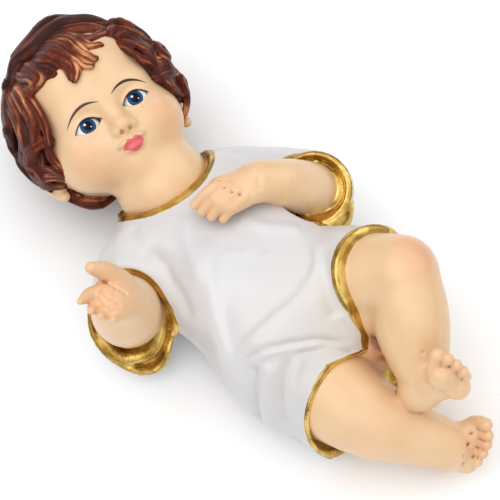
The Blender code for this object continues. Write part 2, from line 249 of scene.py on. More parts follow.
def limb(rows, flat=1.0, thin=None):
    """Distance to a rounded limb along rows of place and radius: the distance to the nearest
    stretch less the radius there. Its section is flattened along the thin direction, or where
    none is given along the direction away from the origin."""
    press = 1 / flat**2 - 1

    def distance(x, y, z):
        best = None
        for start, end in zip(rows[:-1], rows[1:]):
            way = end[:3] - start[:3]
            away = [x - start[0], y - start[1], z - start[2]]
            share = sum(part * step for part, step in zip(away, way)) / (way @ way)
            share = np.clip(share, 0, 1)
            away = [part - share * step for part, step in zip(away, way)]
            length = sum(part * part for part in away)
            if press:
                out = (start + end)[:3] if thin is None else np.array(thin, float)
                out = out / np.linalg.norm(out)
                length = length + press * sum(part * step for part, step in zip(away, out)) ** 2
            made = np.sqrt(length) - (start[3] + share * (end[3] - start[3]))
            best = made if best is None else np.minimum(best, made)
        return best * min(flat, 1.0)

    reach = rows[:, 3].max()
    return distance, rows[:, :3].min(0) - reach, rows[:, :3].max(0) + reach


def bar(path, radii, thin=(0, 0, 1), flat=1.0, steps=8):
    """A limb along a smooth path through the given points, with a radius at each."""
    return limb(smooth_path(np.column_stack([path, radii]), steps), flat, thin)


def half(point, outward, low, high):
    """Distance to the half of space that lies behind a plane, within a box."""
    point = np.array(point, float)
    outward = np.array(outward, float) / np.linalg.norm(outward)

    def distance(x, y, z):
        away = (x - point[0], y - point[1], z - point[2])
        return sum(step * part for step, part in zip(outward, away))

    return distance, np.array(low, float), np.array(high, float)


class Tint:
    """One socket of a material's node tree. Sums and products of sockets add Math nodes, and
    node() adds any other node: its settings are set first, then its sockets."""

    def __init__(self, tree, socket=None):
        self.tree, self.socket = tree, socket

    def node(self, kind, settings=None, sockets=None, out=0):
        node = self.tree.nodes.new("ShaderNode" + kind)
        for name, value in (settings or {}).items():
            if name == "stops":
                ramp = node.color_ramp
                while len(ramp.elements) < len(value):
                    ramp.elements.new(1.0)
                for element, (place, colour) in zip(ramp.elements, value):
                    element.position = place
                    element.color = (*colour, 1.0)
            else:
                setattr(node, name, value)
        for name, value in (sockets or {}).items():
            if isinstance(value, Tint):
                self.tree.links.new(value.socket, node.inputs[name])
            else:
                node.inputs[name].default_value = value
        return Tint(self.tree, node.outputs[out])

    def math(self, operation, *values, clamp=False):
        settings = {"operation": operation, "use_clamp": clamp}
        return self.node("Math", settings, dict(enumerate(values)))

    def __add__(self, other):
        return self.math("ADD", self, other)

    def __sub__(self, other):
        return self.math("SUBTRACT", self, other)

    def __rsub__(self, other):
        return self.math("SUBTRACT", other, self)

    def __mul__(self, other):
        return self.math("MULTIPLY", self, other)

    def __truediv__(self, other):
        return self.math("DIVIDE", self, other)

    __radd__ = __add__
    __rmul__ = __mul__

    def __abs__(self):
        return self.math("ABSOLUTE", self)

    def place(self):
        """The place on the object."""
        return self.node("TexCoord", out=3)

    def value(self, name):
        """A named value that the piece has on its points."""
        return self.node("Attribute", {"attribute_name": name}, out=2)

    def noise(self, place, scale, detail):
        """Soft random blotches, smaller at a larger scale."""
        return self.node("TexNoise", {}, {"Vector": place, "Scale": scale, "Detail": detail})

    def bump(self, strength, distance, height):
        """Normals as if the surface rose by the height times the distance, in metres."""
        sockets = {"Strength": strength, "Distance": distance, "Height": height}
        return self.node("Bump", {}, sockets)

    def step(self, low, high):
        """0 below low and 1 above high, smooth between."""
        sockets = {"Value": self, "From Min": low, "From Max": high}
        return self.node("MapRange", {"interpolation_type": "SMOOTHSTEP"}, sockets)

    def mix(self, first, second):
        """The first colour where this mask is 0, the second where it is 1."""
        colours = [c if isinstance(c, Tint) else (*c, 1.0) for c in (first, second)]
        sockets = {0: self, 6: colours[0], 7: colours[1]}
        return self.node("Mix", {"data_type": "RGBA"}, sockets, out=2)


def new_paint(name, **constants):
    """A material with its constant values set on the shader's own sockets. Returns the
    material, its shader and a Tint that starts formulas."""
    paint = bpy.data.materials.new(name)
    paint.use_nodes = True
    shader = paint.node_tree.nodes["Principled BSDF"]
    for socket, value in constants.items():
        shader.inputs[socket.replace("_", " ")].default_value = value
    return paint, shader, Tint(paint.node_tree)


def feed(shader, socket, value):
    """Link a formula to one socket of the shader."""
    value.tree.links.new(value.socket, shader.inputs[socket])


def flesh_paint(name):
    """Satin flesh enamel: peach with a faint mottle, redder where it blushes, and with painted shade
    that darkens it to brown in the hollows and creases."""
    paint, shader, start = new_paint(name, Coat_Weight=0.25, Coat_Roughness=0.18)
    place = start.place()
    mottle = start.noise(place, 90.0, 3.0)
    blush = start.value("blush")
    hollow = start.value("hollow")
    base = mottle.step(0.3, 0.7).mix(FLESH_LIGHT, FLESH_WARM)
    base = (blush * 0.85).mix(base, FLESH_BLUSH)
    # Painted shade: brown in the hollows, and near black-brown deep in the creases.
    base = (hollow.step(0.02, 0.30) * 0.55).mix(base, FLESH_SHADE)
    base = (hollow.step(0.12, 0.45) * 0.85).mix(base, FLESH_CREASE)
    feed(shader, "Base Color", base)
    feed(shader, "Roughness", 0.30 + 0.10 * mottle)
    grain = start.noise(place, 2600.0, 2.0)
    bump = start.bump(0.05, 0.0002, grain)
    feed(shader, "Normal", bump)
    return paint


def make_piece(name, points, faces, paint, values=None):
    """A finished piece from points in millimetres, with its named values on the points."""
    mesh = bpy.data.meshes.new(name)
    points = np.asarray(points) * MM
    mesh.from_pydata(points, [], faces)
    for key, value in (values or {}).items():
        layer = mesh.attributes.new(key, "FLOAT", "POINT")
        layer.data.foreach_set("value", np.asarray(value, np.float32))
    mesh.shade_smooth()
    mesh.materials.append(paint)
    piece = bpy.data.objects.new(name, mesh)
    bpy.context.scene.collection.objects.link(piece)
    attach(piece, "root")
    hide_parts("figurine")


def near_spots(points, spots):
    """A mask that is 1 at each spot and fades to 0 over the spot's radius."""
    mask = np.zeros(len(points))
    for x, y, z, radius, strength in spots:
        away = np.linalg.norm(points - (x, y, z), axis=1)
        mask = np.maximum(mask, strength * np.exp(-((away / radius) ** 2) * 1.6))
    return mask


FLESH_LIGHT = (0.79, 0.54, 0.315)
FLESH_WARM = (0.76, 0.50, 0.275)
FLESH_BLUSH = (0.76, 0.37, 0.21)
# The painted shade colours: brown for the hollows, darker for the deep creases.
FLESH_SHADE = (0.60, 0.31, 0.14)
FLESH_CREASE = (0.22, 0.06, 0.015)

LEG_CELL = 0.46
RIGHT_LEG = (
    (20, -7, 20.5), (36, -8.4, 21.0), (45, -7.4, 20.6), (56.8, -3.5, 18.5), (67, 2.0, 15.3),
    (74.5, 6.4, 12.4),
)
RIGHT_LEG_RADII = (14.8, 14.2, 13.1, 11.2, 9.2, 7.7)
LEFT_THIGH = ((12, 14.5, 26), (25, 21.5, 38.4), (33.8, 26.7, 48.9))
LEFT_THIGH_RADII = (13.5, 13.6, 10.8)
RIGHT_THIGH = ((20, -8, 21), (37, -7.8, 21.0), (46, -7.4, 20.6), (55, -5.6, 19.0))
RIGHT_THIGH_RADII = (16.0, 15.0, 13.6, 11.3)
LEFT_UNDER_THIGH = ((20, 9, 31), (31, 14.2, 34.2), (40, 19.0, 38.5), (46, 20.5, 40))
LEFT_UNDER_THIGH_RADII = (10.5, 7.2, 7.6, 7.6)
LEFT_SEAT = ((26, 6, 20), (35, 7.5, 22.5), (39, 12, 21.5), (42.5, 15, 21.5))
LEFT_SEAT_RADII = (12.0, 8.5, 7.7, 5.6)
LEFT_GROIN = ((32, 9, 26), (37.5, 10.5, 28), (42, 14, 29))
LEFT_GROIN_RADII = (7.5, 5.4, 4.4)
LEFT_SHIN = (
    (36.0, 25.1, 48.2), (41.4, 22.0, 44.9), (46.2, 18.6, 41.0), (53.3, 14.2, 36), (57.8, 11.4, 32.5)
)
LEFT_SHIN_RADII = (10.7, 11.3, 11.4, 9.2, 7.0)
TOE_RADII = (2.3, 1.95, 1.85, 1.8, 1.75)


def add_foot(clay, heel, toes, way, big_way, sole):
    """A foot: a wedge from the heel to the row of toe roots, the fleshy balls under the big and
    the little toe, and five toes side by side. The big toe points its own way."""
    heel, toes, way, big_way = (np.array(row, float) for row in (heel, toes, way, big_way))
    way /= np.linalg.norm(way)
    big_way /= np.linalg.norm(big_way)
    sole = np.array(sole, float) / np.linalg.norm(sole)
    inner, outer = toes[0] - 7.4 * big_way + 0.22 * (toes[4] - toes[0]), toes[4] - 6.4 * way
    # The inner edge, the outer edge and the row of toe roots, then the heel and the two balls.
    clay.add(bar((heel, inner), (5.6, 3.4)), 2.5)
    clay.add(bar((heel, outer), (5.2, 3.1)), 2.5)
    clay.add(bar((inner, outer), (3.5, 3.0)), 2.0)
    clay.add(ball(heel + 0.4 * sole, 6.0), 2.5)
    clay.add(ball(inner + 0.9 * sole, 2.6), 3.0)
    clay.add(ball(outer + 1.0 * sole, 2.5), 3.0)
    for tip, radius, toe_way in zip(toes, TOE_RADII, (big_way, way, way, way, way)):
        tip = tip - radius * toe_way
        middle = tip - 2.2 * toe_way - 0.5 * sole
        root = tip - 5.0 * toe_way
        clay.add(bar((root, middle, tip), (radius, radius * 0.92, radius * 0.94)), 0.4)


def nails(toes, way, sole):
    """The outline of each nail, a small oval on the toe's upper side."""
    way = np.array(way, float) / np.linalg.norm(way)
    up = -np.array(sole, float) / np.linalg.norm(sole)
    up = up - (up @ way) * way
    side = np.cross(way, up / np.linalg.norm(up))
    turn = np.linspace(0, 2 * np.pi, 17)[:, None]
    ovals = []
    for tip, radius in zip(np.array(toes, float), TOE_RADII):
        middle = tip - 1.15 * radius * way + 0.8 * radius * up
        ovals.append(middle + 0.62 * radius * (np.cos(turn) * side + 0.8 * np.sin(turn) * way))
    return ovals


RIGHT_TOES = (
    (81.5, 18.1, 20.9), (83.9, 16.3, 19.4), (85.2, 14.5, 17.4), (86.0, 12.1, 15.2), (86.2, 9.6, 13.0)
)
RIGHT_TOE_WAY, RIGHT_SOLE = (0.71, 0.23, 0.66), (0.62, -0.4, -0.6)
LEFT_TOES = (
    (59.3, 13.4, 55.0), (63.2, 15.0, 54.0), (65.8, 15.9, 52.2), (68.0, 16.6, 49.8), (69.4, 16.9, 47.0)
)
LEFT_TOE_WAY, LEFT_BIG_WAY, LEFT_SOLE = (0.11, 0.55, 0.83), (-0.28, 0.44, 0.85), (0.8, -0.55, 0.15)

legs = Clay((6, -26, -1), (92, 44, 64), LEG_CELL)
legs.add(bar(RIGHT_LEG, RIGHT_LEG_RADII), 2.0)
legs.add(bar(RIGHT_THIGH, RIGHT_THIGH_RADII, (0, 1, 0), 0.92), 3.0)
legs.add(bar(LEFT_SEAT, LEFT_SEAT_RADII), 1.5)
legs.add(bar(LEFT_GROIN, LEFT_GROIN_RADII), 1.5)
legs.add(bar(LEFT_THIGH, LEFT_THIGH_RADII), 3.0)
legs.add(bar(LEFT_UNDER_THIGH, LEFT_UNDER_THIGH_RADII), 3.0)
legs.add(bar(LEFT_SHIN, LEFT_SHIN_RADII), 2.2)
add_foot(legs, (75.0, 6.6, 8.8), RIGHT_TOES, RIGHT_TOE_WAY, RIGHT_TOE_WAY, RIGHT_SOLE)
add_foot(legs, (59.6, 8.6, 30.4), LEFT_TOES, LEFT_TOE_WAY, LEFT_BIG_WAY, LEFT_SOLE)
legs = legs.skin()
legs.points[:, 2] = np.maximum(legs.points[:, 2], 0)
legs.soften(3)

# The dimples at the roots of the toes, four on the right foot and one on the left: place, width
# and depth.
TOE_DIMPLES = (
    ((78.3, 12.9, 17.8), 0.85, 1.0), ((80.0, 10.0, 16.6), 0.85, 1.1), ((81.1, 6.6, 15.8), 0.7, 0.6),
    ((82.4, 5.6, 12.6), 0.7, 0.5), ((55.4, 12.6, 46.4), 0.7, 0.4),
)
# The width and the depth of the line round a nail.
NAIL_LINE = (0.28, -0.24)
relief = np.zeros(len(legs.points))
for oval in nails(RIGHT_TOES, RIGHT_TOE_WAY, RIGHT_SOLE) + nails(LEFT_TOES, LEFT_TOE_WAY, LEFT_SOLE):
    relief += legs.ridge(oval, *NAIL_LINE, closed=True)
for place, width, deep in TOE_DIMPLES:
    relief += legs.dent(place, width, -deep)
legs.points = legs.points + relief[:, None] * legs.normals()
# The blushes of the knee, feet and shin and one between the legs: place, radius and
# strength.
LEG_BLUSHES = (
    (36, 31.5, 58, 9.5, 1.0), (56.8, -8, 28, 8, 0.2), (82, 13, 17, 7, 0.55), (62, 14, 51, 7, 0.55),
    (64, 6, 28, 6, 0.35), (77, 5, 6, 6, 0.3), (45, 9, 30, 6, 0.8),
)
# Painted shade in the gap between the legs, added to the hollows' brown: place, radius and strength.
LEG_SHADES = ((42, 11.5, 26.5, 6, 0.42), (40, 11.5, 31, 4.6, 0.85))
skin_paint = flesh_paint("flesh enamel")
make_piece(
    "legs", legs.points, legs.faces, skin_paint,
    {
        "blush": near_spots(legs.points, LEG_BLUSHES),
        "hollow": legs.hollow(14) + near_spots(legs.points, LEG_SHADES),
    },
)


# The tunic
# A short tunic with open sleeves, cast with the body and painted satin white. Its neckline,
# cuffs and hems are brushed with gold.

TUNIC_CELL = 0.58
# The body's sections: place along X, then the right, left, low and high edge.
TUNIC_SECTIONS = (
    (-52.0, -11.0, 17.0, 13.0, 25.0),
    (-47.0, -15.0, 22.5, 9.0, 30.0),
    (-43.0, -19.0, 26.5, 5.0, 33.0),
    (-37.0, -23.5, 31.5, 1.0, 37.0),
    (-28.0, -26.0, 32.0, -0.6, 40.5),
    (-15.0, -25.5, 31.0, -1.2, 43.5),
    (0.0, -25.0, 28.6, -1.2, 46.0),
    (12.0, -28.0, 26.8, -1.2, 47.0),
    (22.0, -30.0, 26.6, -1.2, 46.5),
    (32.0, -28.2, 24.0, -0.6, 40.5),
    (40.0, -24.0, 18.0, 1.0, 32.0),
    (50.0, -19.0, 18.0, 1.0, 8.0),
)
TUNIC_SQUARENESS = 2.35
EVERYWHERE = ((-60, -60, -5), (60, 60, 60))
# The planes of the openings: a point of each and the way it faces.
NECK, NECK_WAY = (-46.9, 5.0, 24.4), (-0.733, 0.036, 0.68)
LEFT_HEM_PLANE, LEFT_HEM_WAY = (28.0, 20.5, 44.0), (0.566, 0.18, 0.805)
LEFT_LOW_PLANE, LEFT_LOW_WAY = (36.6, 7.5, 36.3), (0.80, 0.25, 0.55)
RIGHT_HEM_PLANE, RIGHT_HEM_WAY = (44.9, -8.0, 18.9), (0.917, 0.035, 0.397)
CORNER_PLANE, CORNER_WAY = (37.8, -1.6, 34.6), (0.834, -0.395, -0.384)
RIGHT_MOUTH, RIGHT_MOUTH_WAY = (-22.2, -34.2, 20.2), (0.50, -0.52, 0.69)
LEFT_MOUTH, LEFT_MOUTH_WAY = (-9.4, 34.6, 32.0), (0.18, -0.30, 0.93)


def tunic_body(x, y, z):
    """Distance to the tunic's body: at each place along X its section is a squarish oval whose
    edges are read from the sections, and the oval's measure is scaled by its smaller half."""
    rows = smooth_path(TUNIC_SECTIONS, 6)
    flat = np.clip(x.ravel(), rows[0, 0], rows[-1, 0])
    right, left, low, high = (np.interp(flat, rows[:, 0], rows[:, i]) for i in range(1, 5))
    shape = (-1, 1, 1)
    wide, tall = ((left - right) / 2).reshape(shape), ((high - low) / 2).reshape(shape)
    y = np.abs(y - ((left + right) / 2).reshape(shape)) / wide
    z = np.abs(z - ((high + low) / 2).reshape(shape)) / tall
    oval = (y**TUNIC_SQUARENESS + z**TUNIC_SQUARENESS) ** (1 / TUNIC_SQUARENESS) - 1
    ends = np.maximum(x - rows[-1, 0], rows[0, 0] - x)
    return np.maximum(oval * np.minimum(wide, tall), ends).astype(np.float32)


def clipped(shape, plane, way, round_over):
    """A shape that ends at a plane, with a rounded edge."""
    inside, low, high = shape
    behind = half(plane, way, low, high)[0]

    def distance(x, y, z):
        return -soft_min(-inside(x, y, z), -behind(x, y, z), round_over)

    return distance, low, high


def beyond(plane, way):
    """All the space in front of a plane."""
    return half(plane, -np.array(way), *EVERYWHERE)


def both(first, second):
    """The part that two shapes share."""
    return lambda x, y, z: np.maximum(first[0](x, y, z), second[0](x, y, z)), first[1], first[2]


RIGHT_SLEEVE = bar(
    ((-34, -10, 20), (-33, -21, 19.5), (-28, -28, 19.0), (-22.8, -33.8, 18.6), (-19.6, -37.4, 24)),
    (13, 14.8, 15.8, 16.6, 16.3), (0.61, 0.78, 0.14), 0.80,
)
RIGHT_SLEEVE_CORNER = limb(np.array(((-23.0, -33.6, 17.6, 11.8), (-14.2, -36.4, 11.2, 7.6))))
LEFT_SLEEVE = bar(
    (
        (-34, 13, 20), (-32, 21, 20), (-24, 29.5, 19.5), (-14.0, 35.6, 22), (-9.8, 36.0, 27),
        (-9.2, 34.6, 33),
    ),
    (10, 12.5, 13.2, 13.6, 12.9, 11.4),
)
RIGHT_CLOTH = bar(
    ((14, -5, 22), (28, -7.8, 20.4), (37, -8.0, 19.7), (54, -8.2, 18.4)),
    (20.0, 18.6, 17.3, 17.2), (0, 1, 0), 0.92,
)
LEFT_CLOTH = bar(
    ((8, 11, 24), (17.4, 17.4, 31.4), (26, 22, 39.4), (34, 26.5, 47.4)), (14.8, 16.4, 15.8, 14.8)
)


def moved(place, way, step):
    """A place moved by a step along a direction."""
    way = np.array(way) / np.linalg.norm(way)
    return np.array(place) + step * way


# How deep each sleeve is hollow inside its mouth.
RIGHT_HOLLOW, LEFT_HOLLOW = 2.8, 3.0
RIGHT_FUNNEL = clipped(
    bar(
        (moved(RIGHT_MOUTH, RIGHT_MOUTH_WAY, 8), RIGHT_MOUTH, moved(RIGHT_MOUTH, RIGHT_MOUTH_WAY, -8)),
        (16.4, 15.2, 12.4), (0.61, 0.78, 0.14), 0.80,
    ),
    moved(RIGHT_MOUTH, RIGHT_MOUTH_WAY, -RIGHT_HOLLOW), -np.array(RIGHT_MOUTH_WAY), 2.0,
)
RIGHT_FUNNEL_CORNER = clipped(
    limb(np.array(((-21.4, -34.6, 19.6, 11.6), (-13.2, -37.2, 12.6, 5.6)))),
    moved(RIGHT_MOUTH, RIGHT_MOUTH_WAY, -RIGHT_HOLLOW), -np.array(RIGHT_MOUTH_WAY), 2.0,
)
LEFT_FUNNEL = clipped(
    bar(
        (moved(LEFT_MOUTH, LEFT_MOUTH_WAY, 8), LEFT_MOUTH, moved(LEFT_MOUTH, LEFT_MOUTH_WAY, -6)),
        (11.6, 10.2, 9.2),
    ),
    moved(LEFT_MOUTH, LEFT_MOUTH_WAY, -LEFT_HOLLOW), -np.array(LEFT_MOUTH_WAY), 2.0,
)
RIGHT_INSIDE = clipped(
    bar(((56, -8.2, 18.5), (45, -8.0, 19.2), (38, -7.8, 19.6)), (16.0, 16.0, 15.6), (0, 1, 0), 0.92),
    (40.4, -8.2, 17.0), (-0.917, -0.035, -0.397), 1.5,
)
NECK_HOLE = clipped(
    bar(((-60, 5.6, 36.5), NECK, (-40, 4.7, 18.0)), (16.4, 16.4, 16.4), (0.68, 0, 0.733), 1.06),
    NECK, -np.array(NECK_WAY), 0.5,
)
LEG_GAP = bar(((47.5, 10, 34), (48, 12.4, 14)), (4.5, 7.0))
# The rolled inner edge of each sleeve, between the rim and the arm: its path and radii.
SLEEVE_ROLLS = (
    (
        (
            (-28.6, -43.1, 15.9), (-23.3, -43.4, 11.9), (-18.3, -41.9, 9.4), (-13.5, -35.3, 10.9),
            (-14.0, -30.0, 15.2), (-17.4, -25.0, 21.5), (-20.9, -23.4, 25.2),
        ),
        (0.8, 1.6, 2.2, 2.2, 2.0, 1.5, 0.8),
    ),
    (
        (
            (-14.4, 41.5, 32.6), (-7.6, 42.4, 31.4), (-3.2, 40.0, 30.0), (-2.8, 35.0, 28.4),
            (-4.2, 30.0, 27.4),
        ),
        (0.6, 1.4, 1.7, 1.5, 0.8),
    ),
)
# The thick gold roll of the left cuff below the forearm.
LEFT_ROLL = bar(
    ((1.4, 38.6, 27.0), (1.8, 34.6, 25.6), (0.6, 30.4, 24.8), (-4.8, 28.2, 26.0)), (2.6, 4.2, 4.6, 3.2)
)
# The right hem lies in one plane, and turns up into a second one at the middle of the lap.
RIGHT_HEM = both(beyond(RIGHT_HEM_PLANE, RIGHT_HEM_WAY), beyond(CORNER_PLANE, CORNER_WAY))
# Each opening cut into the cloth: its shape, how softly it is cut, and the width of the gold
# as pairs of height and width.
OPENINGS = (
    (NECK_HOLE, 0.8, ((0, 2.9),)),
    (beyond(LEFT_HEM_PLANE, LEFT_HEM_WAY), 1.0, ((34, 0.5), (42, 0.8), (50, 2.2))),
    (beyond(LEFT_LOW_PLANE, LEFT_LOW_WAY), 1.0, ((0, 1.0),)),
    (RIGHT_HEM, 0.8, ((0, 0.9),)),
    (RIGHT_FUNNEL, 0.8, ((0, 2.6),)),
    (RIGHT_FUNNEL_CORNER, 1.5, ((0, 2.6),)),
    (LEFT_FUNNEL, 0.8, ((0, 3.8),)),
    (RIGHT_INSIDE, 0.6, ((0, 0.8),)),
    (LEG_GAP, 1.4, ((12, 6.0), (18, 1.0))),
)
# Where the left forearm lies over the sleeve's edge, the cloth below it stays white.
WHITE_SIDE, WHITE_SIDE_WAY = (-10.7, 28.3, 30.4), (0.195, 0.95, 0.244)


EDGE_STEP = 0.25


def to_edge(distance, points, normals):
    """Distance along the surface to an opening's edge, and zero within the opening: the
    opening's own distance over the rate at which it changes along the surface. The rate is read
    from the change over a short step along each axis."""
    here = distance(*points)
    steps = EDGE_STEP * np.eye(3)[:, :, None]
    slope = np.stack([distance(*(points + step)) - here for step in steps], 1) / EDGE_STEP
    slope = slope - (slope * normals).sum(1)[:, None] * normals
    rate = np.maximum(np.linalg.norm(slope, axis=1), 0.3)
    return np.maximum(here - 0.2, 0) / rate


tunic = Clay((-55, -54, -2), (56, 52, 58), TUNIC_CELL)
tunic.add((tunic_body, *np.array(EVERYWHERE, float)))
tunic.add(clipped(RIGHT_SLEEVE, RIGHT_MOUTH, RIGHT_MOUTH_WAY, 1.6), 4.0)
tunic.add(clipped(RIGHT_SLEEVE_CORNER, RIGHT_MOUTH, RIGHT_MOUTH_WAY, 1.6), 3.0)
tunic.add(clipped(LEFT_SLEEVE, LEFT_MOUTH, LEFT_MOUTH_WAY, 1.6), 4.0)
tunic.add(RIGHT_CLOTH, 3.0)
tunic.add(LEFT_CLOTH, 4.0)
for opening, blend, _ in OPENINGS:
    tunic.cut(opening, blend)
for roll, radii in SLEEVE_ROLLS:
    tunic.add(bar(roll, radii), 1.0)
tunic.add(LEFT_ROLL, 1.2)
tunic = tunic.skin()
tunic.points[:, 2] = np.maximum(tunic.points[:, 2], 0)
tunic.soften(3)

# The folds of the cloth: paths on it with their width, height and reach. A reach makes a fold
# steep on one side, and a height below zero makes a crease.
FOLDS = (
    (
        ((-32, -18, 34), (-24, -18, 37), (-18, -20, 36), (-11, -22, 35), (-6, -24, 31)),
        2.6, -1.3, None,
    ),
    (((-34, -23, 31), (-27, -25, 33), (-20, -26, 32), (-14, -26, 28)), 3.0, 1.0, None),
    (
        ((-17, -2, 43), (-10, -8, 43), (-3, -14, 42), (4, -20, 40), (11, -24, 38), (19, -28, 33)),
        2.4, 2.0, 9.0,
    ),
    (((-29, 0, 40), (-24, -7, 41), (-15, -12, 41), (-7, -16, 40)), 3.2, 0.8, None),
    (
        (
            (14, -25, 38), (14, -18, 43), (15, -11, 46), (16, -2, 47), (15, 5, 47), (12, 11, 48),
            (4, 18, 44),
        ),
        1.8, 1.4, 9.0,
    ),
    (((16, -25, 38), (20, -18, 43), (24, -12, 44), (30, -4, 43), (37, 5, 36)), 0.9, -0.8, None),
    (((17, -26, 37), (21, -19, 42), (26, -13, 44), (32, -5, 42), (38, 3, 36)), 1.1, 0.7, None),
    (((27, -13, 43), (33, -4, 41), (39, 3, 35)), 0.8, -0.7, None),
    (((20, -22, 41), (24, -26, 35), (27, -29, 23), (28, -29, 14)), 2.0, -1.6, None),
    (((24, -19, 42), (27, -25, 35), (31, -28, 24), (33, -28, 12)), 2.4, 1.1, None),
    (((28, -14, 44), (31, -21, 39), (34, -25, 32), (38, -26, 20)), 1.8, -1.1, None),
    (((30, -12, 43), (32, -18, 40), (36, -22, 34), (41, -24, 24)), 2.2, 0.7, None),
    (((-16, 8, 43), (-7, 7, 45), (0, 3, 46)), 1.8, -0.45, None),
    (((-11, -5, 44), (-6, -2, 45), (-4, 3, 46)), 2.0, 0.4, None),
    (((11, 17, 48), (17, 11, 49), (24, 6, 46), (29, 3, 43)), 2.4, -1.0, None),
    (((-16, 7, 43), (-7, 10, 44), (2, 19, 43)), 2.4, 0.9, None),
    (((-36, 26, 29), (-31, 27, 33)), 2.0, -0.6, None),
    (((-40, -14, 31), (-35, -19, 34), (-27, -20, 34)), 2.6, -0.6, None),
    (((-12, -27, 18), (-2, -27, 18), (8, -29, 17)), 2.2, 0.8, None),
    (((-8, 34, 18), (2, 32, 17), (12, 31, 18)), 2.6, 0.8, None),
)
relief = sum(tunic.ridge(path, width, height, reach) for path, width, height, reach in FOLDS)

# Gold where an opening is nearer than the band is wide. The band is raised and finely grooved.
GOLD_RAISED, GOLD_GROOVE, GOLD_GROOVE_SPACING = 0.32, 0.12, 1.6
ROLL_GOLD = 1.1
columns = np.ascontiguousarray(tunic.points.T)
normals = tunic.normals()
gold = np.full(len(tunic.points), -FAR)
white_side = (tunic.points - WHITE_SIDE) @ np.array(WHITE_SIDE_WAY)
for opening, _, widths in OPENINGS:
    width = np.interp(columns[2], *np.transpose(widths))
    if opening is LEFT_FUNNEL:
        width = width * np.clip(white_side / 1.5 + 0.5, 0, 1) - 0.6 * (white_side < 0)
    gold = np.maximum(gold, width - to_edge(opening[0], columns, normals))
gold = np.maximum(gold, ROLL_GOLD - np.maximum(LEFT_ROLL[0](*columns), 0))
band = np.clip(gold / 0.6 + 0.3, 0, 1)
swirl = np.cos(2 * np.pi * gold / GOLD_GROOVE_SPACING) * np.clip(gold - 0.4, 0, 2)
relief = relief * (1 - 0.7 * band) + band * (GOLD_RAISED + GOLD_GROOVE * swirl)
tunic.points = tunic.points + relief[:, None] * tunic.normals()
tunic.points[:, 2] = np.maximum(tunic.points[:, 2], 0)
tunic.soften(1)

WHITE = (0.655, 0.645, 0.65)
PEARL = (0.62, 0.61, 0.62)
CREAM = (0.68, 0.645, 0.60)
WHITE_SHADE = (0.50, 0.46, 0.44)
GOLD_LIGHT = (0.80, 0.55, 0.16)
GOLD_MIDDLE = (0.48, 0.28, 0.055)
GOLD_DARK = (0.10, 0.045, 0.008)
# Where the white is creamier, on the lap: place, radius and strength.
CREAM_SPOTS = ((27, 4, 43, 24, 1.0), (30, -14, 36, 14, 0.6))
# Below these two heights, in metres, the gold is rougher and then fully rough.
SMOOTH_GOLD, ROUGH_GOLD = 0.018, 0.012
tunic_paint, shader, start = new_paint(
    "tunic enamel and gold", Coat_Weight=0.15, Coat_Roughness=0.2
)
place = start.place()
gilt = start.value("gold")
hollow = start.value("hollow")
wobble = start.noise(place, 350.0, 2.0)
grain = start.noise(place, 1500.0, 2.0)
streak = start.noise(place, 150.0, 2.0)
height = start.node("SeparateXYZ", {}, {0: place}, out=2)
rough = 1 - height.step(ROUGH_GOLD, SMOOTH_GOLD)
cloud = start.noise(place, 22.0, 2.0)
is_gold = (gilt + 0.4 * (wobble - 0.5)).step(-0.08, 0.08)
white = cloud.step(0.40, 0.52).mix(WHITE, PEARL)
white = start.value("cream").mix(white, CREAM)
# Painted shade: a greyer white in the cloth's hollows.
white = (hollow.step(0.03, 0.45) * 0.7).mix(white, WHITE_SHADE)
yellow = streak.step(0.35, 0.65).mix(GOLD_MIDDLE, GOLD_LIGHT)
# Painted shade on the gold: dark lines along the band's grooves.
groove = start.math("SINE", 3.9 * gilt + 9.0 * (streak - 0.5) + 3.0 * (wobble - 0.5))
yellow = (groove.step(0.2, 1.0) * 0.3).mix(yellow, GOLD_DARK)
yellow = (grain.step(0.45, 0.7) * rough * 0.5).mix(yellow, GOLD_DARK)
# Painted shade: dark gold in the hollows.
yellow = (hollow.step(0.08, 0.45) * 0.75).mix(yellow, GOLD_DARK)
feed(shader, "Base Color", is_gold.mix(white, yellow))
feed(shader, "Metallic", 0.95 * is_gold)
feed(shader, "Roughness", 0.34 + is_gold * (0.10 * streak + 0.15 * rough * grain - 0.16))
bump = start.bump(0.3, 0.0003, grain * is_gold * rough)
feed(shader, "Normal", bump)
make_piece(
    "tunic", tunic.points, tunic.faces, tunic_paint,
    {
        "gold": gold, "hollow": tunic.hollow(14),
        "cream": near_spots(tunic.points, CREAM_SPOTS),
    },
)


# The arms and hands
# Both forearms come out of the sleeves. The right hand is raised with its palm open, and the
# left hand lies on the chest.

HAND_CELL = 0.30
RIGHT_ARM = (
    (-25, -27, 18), (-23.8, -33.4, 23.5), (-22.6, -35.4, 32), (-21.6, -36.8, 41), (-21.8, -37.8, 45)
)
RIGHT_ARM_RADII = (9.5, 10.9, 10.6, 8.0, 6.6)
LEFT_ARM = ((-14, 36, 22), (-10.5, 34.8, 29.5), (-13.8, 26.4, 41.4), (-18.4, 18.9, 47.6))
LEFT_ARM_RADII = (8.0, 8.8, 7.7, 5.9)
